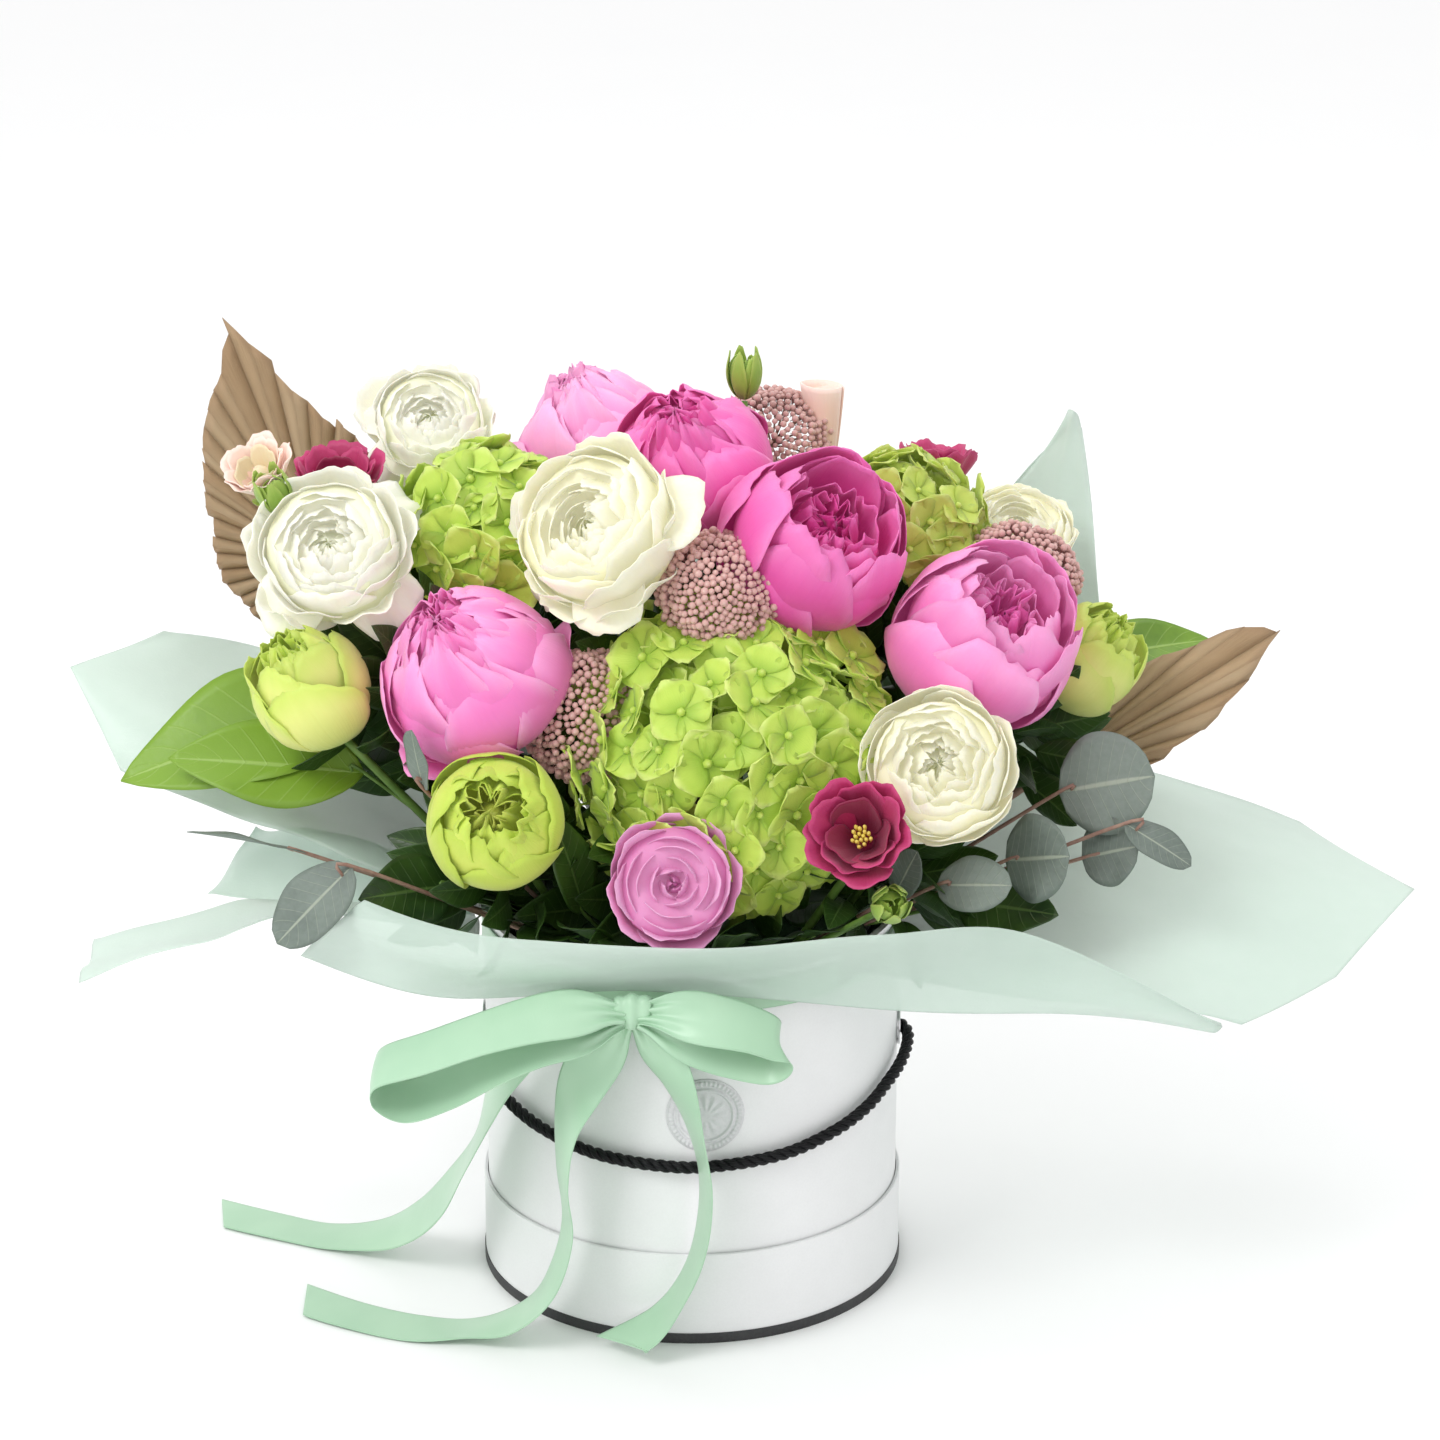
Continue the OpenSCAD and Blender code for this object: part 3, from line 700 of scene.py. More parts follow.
CREAM = Petal(
    "cream_petal", "petal_ivory",
    (0.72, 0.70, 0.45), (0.745, 0.73, 0.57), (0.77, 0.76, 0.64), (0.60, 0.63, 0.31), 0.36,
    0.5, (0.008, 0.007, 0.004), 0.15,
)
LIME = Petal(
    "lime_floret", "petal_lime",
    (0.26, 0.42, 0.03), (0.45, 0.60, 0.08), (0.62, 0.72, 0.21), (0.33, 0.48, 0.04), 0.05,
)
PALE_LIME = Petal(
    "pale_lime_floret", "petal_lime",
    (0.34, 0.46, 0.05), (0.50, 0.61, 0.10), (0.62, 0.70, 0.22), (0.40, 0.52, 0.07), 0.05,
)
YELLOW_GREEN = Petal(
    "yellow_green_petal", "petal_yellow_green",
    (0.46, 0.56, 0.10), (0.66, 0.69, 0.20), (0.44, 0.58, 0.07), (0.40, 0.54, 0.05), 0.55,
)
LIME_ROSE = Petal(
    "lime_rose_petal", "petal_yellow_green",
    (0.42, 0.54, 0.06), (0.58, 0.66, 0.11), (0.40, 0.55, 0.05), (0.36, 0.40, 0.05), 0.5,
)
MAUVE = Petal(
    "mauve_petal", "petal_mauve",
    (0.56, 0.09, 0.32), (0.66, 0.28, 0.49), (0.72, 0.38, 0.59), (0.50, 0.12, 0.33), 0.35,
)
MAGENTA = Petal(
    "magenta_petal", "petal_magenta",
    (0.22, 0.01, 0.05), (0.40, 0.012, 0.09), (0.52, 0.04, 0.17), (0.26, 0.01, 0.06), 0.4,
)
BLUSH = Petal(
    "blush_petal", "petal_blush",
    (0.84, 0.62, 0.52), (0.86, 0.62, 0.54), (0.90, 0.74, 0.66), (0.76, 0.66, 0.44), 0.3,
)
ROSE_BUD = Petal(
    "rose_cream_bud", "rice_rose",
    (0.30, 0.10, 0.10), (0.62, 0.38, 0.35), (0.78, 0.62, 0.55), (0.50, 0.26, 0.24), 0.1,
)
YOUNG_GREEN = Petal(
    "young_green", "bud_green",
    (0.10, 0.18, 0.02), (0.22, 0.36, 0.04), (0.36, 0.48, 0.09), (0.26, 0.40, 0.05), 0.2,
)
BRIGHT = Leaf(
    "bright_leaf", "leaf_bright", (0.07, 0.17, 0.012), (0.19, 0.34, 0.025), (0.30, 0.46, 0.10)
)
DARK = Leaf(
    "dark_leaf", "leaf_dark", (0.010, 0.034, 0.008), (0.04, 0.10, 0.014), (0.09, 0.17, 0.04), 0.28
)
GREY = Leaf(
    "grey_leaf", "leaf_grey",
    (0.085, 0.115, 0.095), (0.14, 0.18, 0.15), (0.28, 0.32, 0.25), 0.5, 0.14
)
BOARD = Plain(
    "white_board", "board_white", (0.80, 0.805, 0.81), (0.83, 0.835, 0.84), 900.0, 0.42, 0.00005
)
TAPE = Plain("black_tape", "trim_black", (0.02, 0.02, 0.022), (0.04, 0.04, 0.042), 700.0, 0.5)
NICKEL = Plain(
    "satin_nickel", "eyelet_metal", (0.62, 0.62, 0.63), (0.72, 0.72, 0.73), 1200.0, 0.3,
    0.00004, 1.0,
)
LINER = Plain("liner", "liner_plastic", (0.04, 0.05, 0.05), (0.07, 0.08, 0.08), 300.0, 0.5)
FOAM = Plain(
    "wet_foam", "foam_green", (0.01, 0.035, 0.012), (0.03, 0.08, 0.03), 900.0, 0.8, 0.001
)
STALK = Plain("stalk", "bud_green", (0.09, 0.19, 0.03), (0.17, 0.30, 0.06), 160.0, 0.45)
TWIG = Plain("twig", "bud_green", (0.25, 0.13, 0.10), (0.36, 0.24, 0.18), 260.0, 0.6)
POLLEN = Plain("pollen", "bud_green", (0.72, 0.55, 0.06), (0.84, 0.70, 0.16), 900.0, 0.7)
EYE = Plain("dark_eye", "bud_green", (0.03, 0.06, 0.02), (0.08, 0.13, 0.04), 900.0, 0.6)
# the seal's grey, darker than the white board, is painted shade for the shading of its embossed relief
SEAL = Plain(
    "seal_paper", "seal_paper", (0.62, 0.625, 0.635), (0.70, 0.705, 0.715), 700.0, 0.3, 0.00005
)
SATIN, FROST, ROPE, REED = Satin(), Frost(), Rope(), Reed()

Finish = Petal | Leaf | Plain | Satin | Frost | Rope | Reed


class Shelf:
    """Materials, each made once."""

    made: dict[str, bpy.types.Material] = {}

    @classmethod
    def get(cls, finish: Finish) -> bpy.types.Material:
        """The material of a finish."""
        if finish.name not in cls.made:
            cls.made[finish.name] = finish.material()
        return cls.made[finish.name]


def settle(
    piece: bpy.types.Object, finish: Finish, *nodes: str, body: str = "box"
) -> bpy.types.Object:
    """Puts a finished piece on its body, in place of CAD nodes."""
    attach(piece, body)
    # Makes the strip, gently crowned across, and logs its length.
    if nodes:
        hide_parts(*nodes)
    LOG.info("%s: %d faces", piece.name, len(piece.data.polygons))
    return piece


# ---------------------------------------------------------------- blooms


@dataclass(frozen=True)
class Whorl:
    """A ring of petals, with sizes as shares of the head's radius or height.

    Attributes:
        count: Petals in the ring.
        radius: The widest reach from the axis.
        start: Lean from the axis at the base, in degrees.
        end: Lean at the tip, under 0 where it closes in.
        spread: Width round the axis, in degrees.
        top: Height of the tips, or of the base where the petals hang down.
        ruffle: Waves along the edge.
        waves: How many waves.
        roll: Extra outward lean of the last fifth, in degrees.
        blunt: How far the corners stay below the tip.
        bend: How late the lean changes.
        loose: How much each petal differs.
    """

    count: int
    radius: float
    start: float
    end: float
    spread: float
    top: float
    ruffle: float = 0.02
    waves: float = 3.0
    roll: float = 0.0
    blunt: float = 0.3
    bend: float = 1.0
    loose: float = 1.0

    def petals(
        self, shell: Shell, radius: float, height: float, layer: float, rng: np.random.Generator
    ) -> None:
        """Adds the ring's petals to a shell, with the head's base at the origin."""
        turn = rng.uniform(0, 2 * math.pi)
        for i in range(self.count):
            azimuth = turn + 2 * math.pi * i / self.count + rng.normal(0, 0.06) * self.loose
            self._petal(shell, radius, height, layer, azimuth, rng)

    def _petal(
        self,
        shell: Shell,
        radius: float,
        height: float,
        layer: float,
        azimuth: float,
        rng: np.random.Generator,
    ) -> None:
        """Adds one petal that leans from the axis at an azimuth."""
        t = np.linspace(0, 1, 80)
        start = self.start + rng.normal(0, 3) * self.loose
        end = self.end + rng.normal(0, 7) * self.loose
        lean = start + (end - start) * t**self.bend + self.roll * smooth(t, 0.78, 1.0)
        lean = np.radians(lean)
        out, up = (
            np.concatenate([[0], np.cumsum(f(lean[1:]) + f(lean[:-1]))]) for f in (np.sin, np.cos)
        )
        scale = self.radius * radius / out.max() * (1 + rng.normal(0, 0.035) * self.loose)
        top = height * (self.top + rng.normal(0, 0.02) * self.loose)
        low = height * 0.04
        out *= scale
        if self.end > 90:  # it hangs from its own height
            up = up * scale + top
        else:
            up = up * (top - low) / up.max() + low
        large = self.radius > 0.3 and self.top > 0.3
        rows, cols = (15, 19) if large else (11, 13)
        s = np.linspace(0, 1, rows)[:, None]
        u = np.linspace(-1, 1, cols)[None, :]
        one, two, three, four = rng.uniform(0, 6.28, 4)  # where its waves start
        ragged = 0.022 * np.sin(u * 6 + one) + 0.014 * np.sin(u * 17 + two)
        skew = rng.normal(0, 0.05) * self.loose
        reach = s * (1 - self.blunt * np.abs(u) ** 2.8 + (ragged + skew * u) * s)
        reach = np.clip(reach - 0.02 * s, 0, 1)
        rho, z, slope = (np.interp(reach, t, a) for a in (out, up, lean))
        width = np.radians(self.spread / 2) * (0.45 + 0.55 * smooth(reach, 0.0, 0.45))
        phi = azimuth + u * width
        wave = self.ruffle * radius * reach**2.5
        wave = wave * (np.sin(self.waves * math.pi * u + three) + 0.4 * np.sin(11 * u + four))
        soft = 0.014 * reach * np.sin(3.4 * u + 5 * s + one) * self.loose
        lift = wave + radius * (soft + 0.03 * u + 0.025 * u * u * reach)
        rho = rho + lift * np.cos(slope)
        z = z - lift * np.sin(slope)
        shell.grid(turned(rho, phi, z), layer, rng.random())


PEONY = (
    Whorl(4, 0.20, 40, -30, 120, 0.93, 0.09, 3),
    Whorl(6, 0.34, 50, -42, 100, 0.97, 0.08, 3.4),
    Whorl(7, 0.50, 58, -52, 84, 1.00, 0.06, 3),
    Whorl(7, 0.65, 66, -58, 78, 1.00, 0.045, 2.6),
    Whorl(7, 0.77, 72, -62, 78, 0.97, 0.03, 2.4, blunt=0.4),
    Whorl(6, 0.87, 76, -62, 82, 0.92, 0.02, 2, blunt=0.45),
    Whorl(6, 0.94, 80, -58, 84, 0.84, 0.015, 2, blunt=0.45),
    Whorl(5, 1.00, 88, -44, 92, 0.70, 0.02, 2, blunt=0.45, loose=1.6),
)
DROOPING_PEONY = PEONY + (Whorl(2, 1.16, 92, 40, 74, 0.34, 0.03, 2, blunt=0.5, loose=2),)
CUPPED_PEONY = (
    Whorl(4, 0.18, 36, -20, 120, 0.78, 0.10, 3),
    Whorl(6, 0.31, 42, -24, 100, 0.82, 0.09, 3.2),
    Whorl(7, 0.45, 50, -28, 84, 0.84, 0.07, 3),
    Whorl(6, 0.58, 58, -30, 84, 0.85, 0.05, 2.6),
    Whorl(5, 0.74, 68, -30, 92, 0.94, 0.02, 2, blunt=0.4),
    Whorl(5, 0.85, 76, -36, 94, 0.99, 0.015, 2, blunt=0.4),
    Whorl(5, 0.94, 82, -40, 94, 0.94, 0.015, 2, blunt=0.4, loose=1.4),
    Whorl(5, 1.00, 88, -36, 92, 0.78, 0.02, 2, blunt=0.45, loose=2),
)
RANUNCULUS = (
    Whorl(4, 0.10, 14, -24, 130, 0.60, 0.0, 2, loose=0.3),
    Whorl(5, 0.17, 22, -28, 120, 0.67, 0.0, 2, loose=0.3),
    Whorl(5, 0.245, 28, -30, 118, 0.74, 0.0, 2, loose=0.3),
    Whorl(6, 0.32, 34, -32, 104, 0.80, 0.0, 2, loose=0.3),
    Whorl(6, 0.395, 40, -34, 100, 0.85, 0.003, 2, loose=0.3),
    Whorl(6, 0.47, 46, -34, 98, 0.89, 0.004, 2, loose=0.4),
    Whorl(6, 0.55, 52, -34, 96, 0.93, 0.006, 2, loose=0.4),
    Whorl(6, 0.63, 58, -32, 94, 0.95, 0.008, 2, loose=0.5),
    Whorl(6, 0.72, 64, -28, 92, 0.95, 0.01, 2, loose=0.6),
    Whorl(6, 0.81, 70, -20, 90, 0.92, 0.014, 2, loose=0.7),
    Whorl(6, 0.91, 76, -8, 86, 0.86, 0.018, 2, loose=0.8),
    Whorl(5, 1.00, 84, 12, 90, 0.74, 0.02, 2),
)
OPEN_RANUNCULUS = RANUNCULUS[:-2] + (
    Whorl(5, 0.95, 78, 12, 90, 0.84, 0.03, 2.2, loose=1.2),
    Whorl(5, 1.10, 86, 50, 82, 0.68, 0.05, 2.6, blunt=0.4, loose=1.4),
    Whorl(4, 1.24, 78, 132, 74, 0.56, 0.05, 3, blunt=0.45, loose=1.4),
)
ROSE_BUD_OPEN = (
    Whorl(3, 0.24, 26, -14, 150, 1.00, 0.09, 3),
    Whorl(4, 0.42, 36, -26, 125, 1.02, 0.10, 3.4),
    Whorl(4, 0.60, 48, -34, 118, 1.01, 0.08, 3.4),
    Whorl(4, 0.77, 60, -42, 114, 0.98, 0.04, 3),
    Whorl(4, 0.90, 72, -46, 110, 0.93, 0.015, 2),
    Whorl(4, 1.00, 86, -42, 108, 0.82, 0.01, 2),
)
SPIRAL_ROSE = (
    Whorl(2, 0.10, 16, -16, 210, 0.86, 0.0, 2, loose=0.4),
    Whorl(3, 0.18, 22, -20, 160, 0.89, 0.0, 2, loose=0.4),
    Whorl(3, 0.28, 30, -22, 150, 0.92, 0.0, 2, 6, loose=0.4),
    Whorl(3, 0.39, 38, -24, 150, 0.95, 0.004, 2, 14, loose=0.5),
    Whorl(4, 0.52, 48, -24, 124, 0.97, 0.006, 2, 22, loose=0.5),
    Whorl(4, 0.67, 60, -22, 120, 0.96, 0.008, 2, 34, loose=0.6),
    Whorl(5, 0.84, 72, -18, 104, 0.92, 0.01, 2, 44, loose=0.7),
    Whorl(5, 1.00, 86, -8, 98, 0.82, 0.012, 2, 48, loose=0.8),
)
FLARED = (
    Whorl(3, 0.58, 26, 6, 136, 0.88, 0.03, 2),
    Whorl(5, 0.80, 34, 22, 100, 0.98, 0.035, 2.4),
    Whorl(5, 1.00, 46, 52, 92, 0.94, 0.05, 2.6),
)
BUD = (
    Whorl(3, 0.70, 60, -50, 130, 0.80, 0.0, 2),
    Whorl(4, 0.85, 70, -40, 105, 0.88, 0.0, 2, blunt=0.6),
    Whorl(5, 1.00, 80, -44, 74, 1.0, 0.0, 2, 30, blunt=0.9),
)
SEPALS = (Whorl(5, 0.58, 92, 30, 42, 0.24, 0.0, 2, blunt=0.85, loose=1.5),)


class Heart(Enum):
    """What sits in the middle of an open bloom."""

    NONE = 0
    EYE = 1
    STAMENS = 2


@dataclass(frozen=True)
class Bloom:
    """One bloom: its CAD node, place over the rim, way it faces and size in millimetres."""

    node: str
    place: Triple
    faces: Triple
    foot: tuple[float, float]
    radius: float
    tall: float
    whorls: tuple[Whorl, ...]
    finish: Petal
    heart: Heart = Heart.NONE
    seed: int = 1
    spin: float = 0.0

    @property
    def base(self) -> Points:
        """Where the stem meets the head."""
        return spot(self.place) - unit(self.faces) * self.radius * self.tall * MM

    def build(self, bouquet: "Bouquet") -> None:
        """Makes the head and its heart, and gives its sepals to the bouquet."""
        rng = np.random.default_rng(self.seed)
        shell = Shell()
        height = 2 * self.radius * self.tall * MM
        last = max(len(self.whorls) - 1, 1)
        self._core(shell, height)
        for i, whorl in enumerate(self.whorls):
            whorl.petals(shell, self.radius * MM, height, i / last, rng)
        turn = axes_for(self.faces) @ np.array(Matrix.Rotation(self.spin, 3, "Z"))
        sepals = Shell()
        SEPALS[0].petals(sepals, self.radius * MM, height, 0.5, rng)
        bouquet.sepals.join(sepals.moved(turn, self.base))
        shell.moved(turn, self.base).piece(self.node + "_head", self.finish, self.node, thick=SKIN)
        if self.heart is not Heart.NONE:
            self._heart(turn, height)

    def _core(self, shell: Shell, height: float) -> None:
        """Adds the closed middle that the inner petals wrap round."""
        a = np.linspace(0, 2 * math.pi, 25)[None, :-1]
        tight = [w for w in self.whorls[1:] if w.end < 0]
        if self.whorls[0].radius < 0.15 and tight:
            rings = [(0.0, 0.06), (0.5, 0.1), (0.82, 0.4)]
            rings += [(0.94 * w.radius, w.top - 0.13) for w in reversed(tight) if w.radius < 0.9]
            rings += [(0.0, self.whorls[0].top - 0.13)]
            r, z = (np.array(side)[:, None] for side in zip(*rings))
            r, z, layer = r * self.radius * MM, z * height, 0.5
        else:
            t = np.linspace(0, math.pi, 9)[:, None]
            top = height * (self.whorls[0].top - 0.1)
            wide = self.radius * MM * (0.30 if self.heart is Heart.NONE else 0.16)
            if self.heart is Heart.STAMENS:
                top *= 0.5
            r, z, layer = wide * np.sin(t), top * (0.5 - 0.5 * np.cos(t)), 0.0
        shell.grid(turned(r, -a, z), layer, 0.5, ring=True)

    def _heart(self, turn: Points, height: float) -> None:
        """Makes the button or the stamens."""
        shell, rng = Shell(), np.random.default_rng(self.seed + 50)
        stamens = self.heart is Heart.STAMENS
        count = 16 if stamens else 22
        for i in range(count):
            a, r = i * GOLDEN, math.sqrt((i + 0.5) / count)
            reach = (5.0 if stamens else 1.9) * MM * r
            low = height * (0.25 if stamens else 0.30)
            tip = np.array([math.cos(a) * reach, math.sin(a) * reach, 0])
            top = height * (0.62 if stamens else 0.56) + rng.normal(0, 0.0006)
            steps = ((0.3, low), (0.8, (low + top) / 2), (1, top))
            path = along(np.array([tip * k + [0, 0, z] for k, z in steps]), np.linspace(0, 1, 6))
            bulge = np.array([0.3, 0.3, 0.3, 0.4, 1.0, 0.8]) if stamens else np.full(6, 0.5)
            shell.tube(path, bulge * MM, 6)
        finish = POLLEN if stamens else EYE
        shell.moved(turn, self.base).piece(f"{self.node}_heart", finish, weld=True)


BLOOMS = (
    Bloom(
        "peony_1", (-99, -50, 129), (-0.35, -0.5, 0.8), (-36, -14), 42, 0.95, DROOPING_PEONY, PINK,
        seed=11, spin=-2.0,
    ),
    Bloom("peony_2", (-46, 96, 194), (-0.3, 0.0, 0.95), (-14, 54), 42, 0.85, PEONY, PALE_PINK, seed=12),
    Bloom("peony_3", (0, 35, 201), (-0.2, -0.5, 0.85), (4, 40), 40, 0.95, PEONY, HOT_PINK, seed=13),
    Bloom(
        "peony_4", (57, -20, 177), (0.35, -0.55, 0.75), (44, 44), 40, 0.95, CUPPED_PEONY, HOT_PINK,
        seed=14,
    ),
    Bloom("peony_5", (131, -30, 137), (0.4, -0.45, 0.8), (46, -8), 43, 0.95, CUPPED_PEONY, PINK, seed=15),
    Bloom(
        "ranunculus_1", (-124, 90, 203), (0.05, -0.7, 0.7), (-38, 40), 30, 0.7, OPEN_RANUNCULUS,
        IVORY, Heart.EYE, 21,
    ),
    Bloom(
        "ranunculus_2", (-162, -10, 171), (-0.1, -0.75, 0.65), (-50, 4), 37, 0.7, OPEN_RANUNCULUS,
        IVORY, Heart.EYE, 22,
    ),
    Bloom(
        "ranunculus_3", (-38, -30, 186), (-0.5, -0.6, 0.6), (-20, 28), 42, 0.75, OPEN_RANUNCULUS,
        CREAM, Heart.NONE, 23, 0.44,
    ),
    Bloom(
        "ranunculus_4", (111, -85, 95), (-0.1, -0.85, 0.5), (40, -30), 36, 0.75, RANUNCULUS, CREAM,
        Heart.EYE, 24,
    ),
    Bloom(
        "ranunculus_5", (154, 75, 150), (0.1, -0.4, 0.9), (50, 28), 30, 0.75, RANUNCULUS, CREAM,
        Heart.NONE, 25,
    ),
    Bloom(
        "green_rose_1", (-171, -40, 116), (-0.45, -0.25, 0.85), (-48, -8), 27, 1.1, ROSE_BUD_OPEN,
        YELLOW_GREEN, seed=31,
    ),
    Bloom(
        "green_rose_2", (-86, -95, 74), (-0.05, -0.85, 0.5), (-32, -34), 31, 0.85, ROSE_BUD_OPEN,
        LIME_ROSE, seed=32,
    ),
    Bloom(
        "green_rose_3", (183, 10, 114), (0.6, -0.2, 0.75), (42, 4), 26, 1.0, ROSE_BUD_OPEN,
        YELLOW_GREEN, seed=33,
    ),
    Bloom("mauve_rose", (-7, -110, 50), (0, -0.92, 0.4), (-4, -44), 31, 0.8, SPIRAL_ROSE, MAUVE, seed=41),
    Bloom(
        "lisianthus_1", (76, -112, 73), (-0.15, -0.8, 0.55), (26, -42), 25, 0.8, FLARED, MAGENTA,
        Heart.STAMENS, 51,
    ),
    Bloom("lisianthus_2", (-164, 50, 182), (0, -0.2, 1), (-46, 24), 22, 0.9, FLARED, MAGENTA, Heart.NONE, 52),
    Bloom(
        "lisianthus_3", (117, 100, 175), (0.1, 0.2, 0.95), (32, 56), 20, 0.9, FLARED, MAGENTA,
        Heart.NONE, 53,
    ),
    Bloom(
        "blush_lisianthus", (-196, 20, 198), (-0.3, -0.5, 0.8), (-56, 14), 18, 0.9, FLARED, BLUSH,
        Heart.NONE, 54,
    ),
)


@dataclass
class Bouquet:
    """The cut flowers, stem by stem."""

    stems: Shell = field(default_factory=Shell)
    sepals: Shell = field(default_factory=Shell)

    def build(self) -> None:
        """Makes every bloom, then the stems as one piece."""
        for bloom in BLOOMS:
            bloom.build(self)
            self._stem(bloom.foot, bloom.base, 2.0)
        self._buds()
        self._calla()
        self.stems.piece("stems", STALK, weld=True)
        self.sepals.piece("sepals", YOUNG_GREEN, thick=SKIN)

    def _stem(self, foot: Point, base: Points, radius: float) -> None:
        """Adds a stem from the foam to a head."""
        start = np.array([foot[0], foot[1], FOOT_Z]) * MM
        path = along(np.stack([start, (start + base) / 2, base]), np.linspace(0, 1, 9))
        self.stems.tube(path, radius * MM, 10)

    def _buds(self) -> None:
        """Pointed green buds: over the top, low at the front and by the blush bloom."""
        shell = Shell()
        for place, faces, foot, seed in (
            ((25, 70, 234), (0, 0, 1), (14, 44), 1),
            ((88, -124, 46), (0.1, -0.5, 0.3), (8, -30), 2),
            ((-190, 4, 196), (-0.2, -0.35, 0.8), (-54, 10), 3),
        ):
            rng = np.random.default_rng(seed)
            part = Shell()
            for i, whorl in enumerate(BUD):
                whorl.petals(part, 8.5 * MM, 25 * MM, i / 2, rng)
            base = spot(place) - unit(faces) * 12 * MM
            shell.join(part.moved(axes_for(faces), base))
            self._stem(foot, base, 1.6)
        shell.piece("buds", YOUNG_GREEN, "lisianthus_buds", thick=SKIN)

    def _calla(self) -> None:
        """A rolled blush spathe behind the back row."""
        s = np.linspace(0, 1, 16)[:, None]
        u = np.linspace(0, 1, 25)[None, :]
        turn = 2 * math.pi * 1.35 * u
        radius = (3 + 7.5 * s**0.7) * (1 - 0.14 * u) * MM
        height = 44 * s * (1 - 0.22 * np.abs(u - 0.4)) * MM
        base = spot((64, 100, 180))
        shell = Shell()
        shell.grid(turned(radius, turn, height), 0.6, 0.5)
        shell.moved(axes_for((-0.05, 0, 1)), base)
        shell.piece("calla", BLUSH, "blush_calla", thick=0.0008)
        self._stem((22, 60), base, 2.0)


# ---------------------------------------------------------------- scattered pieces


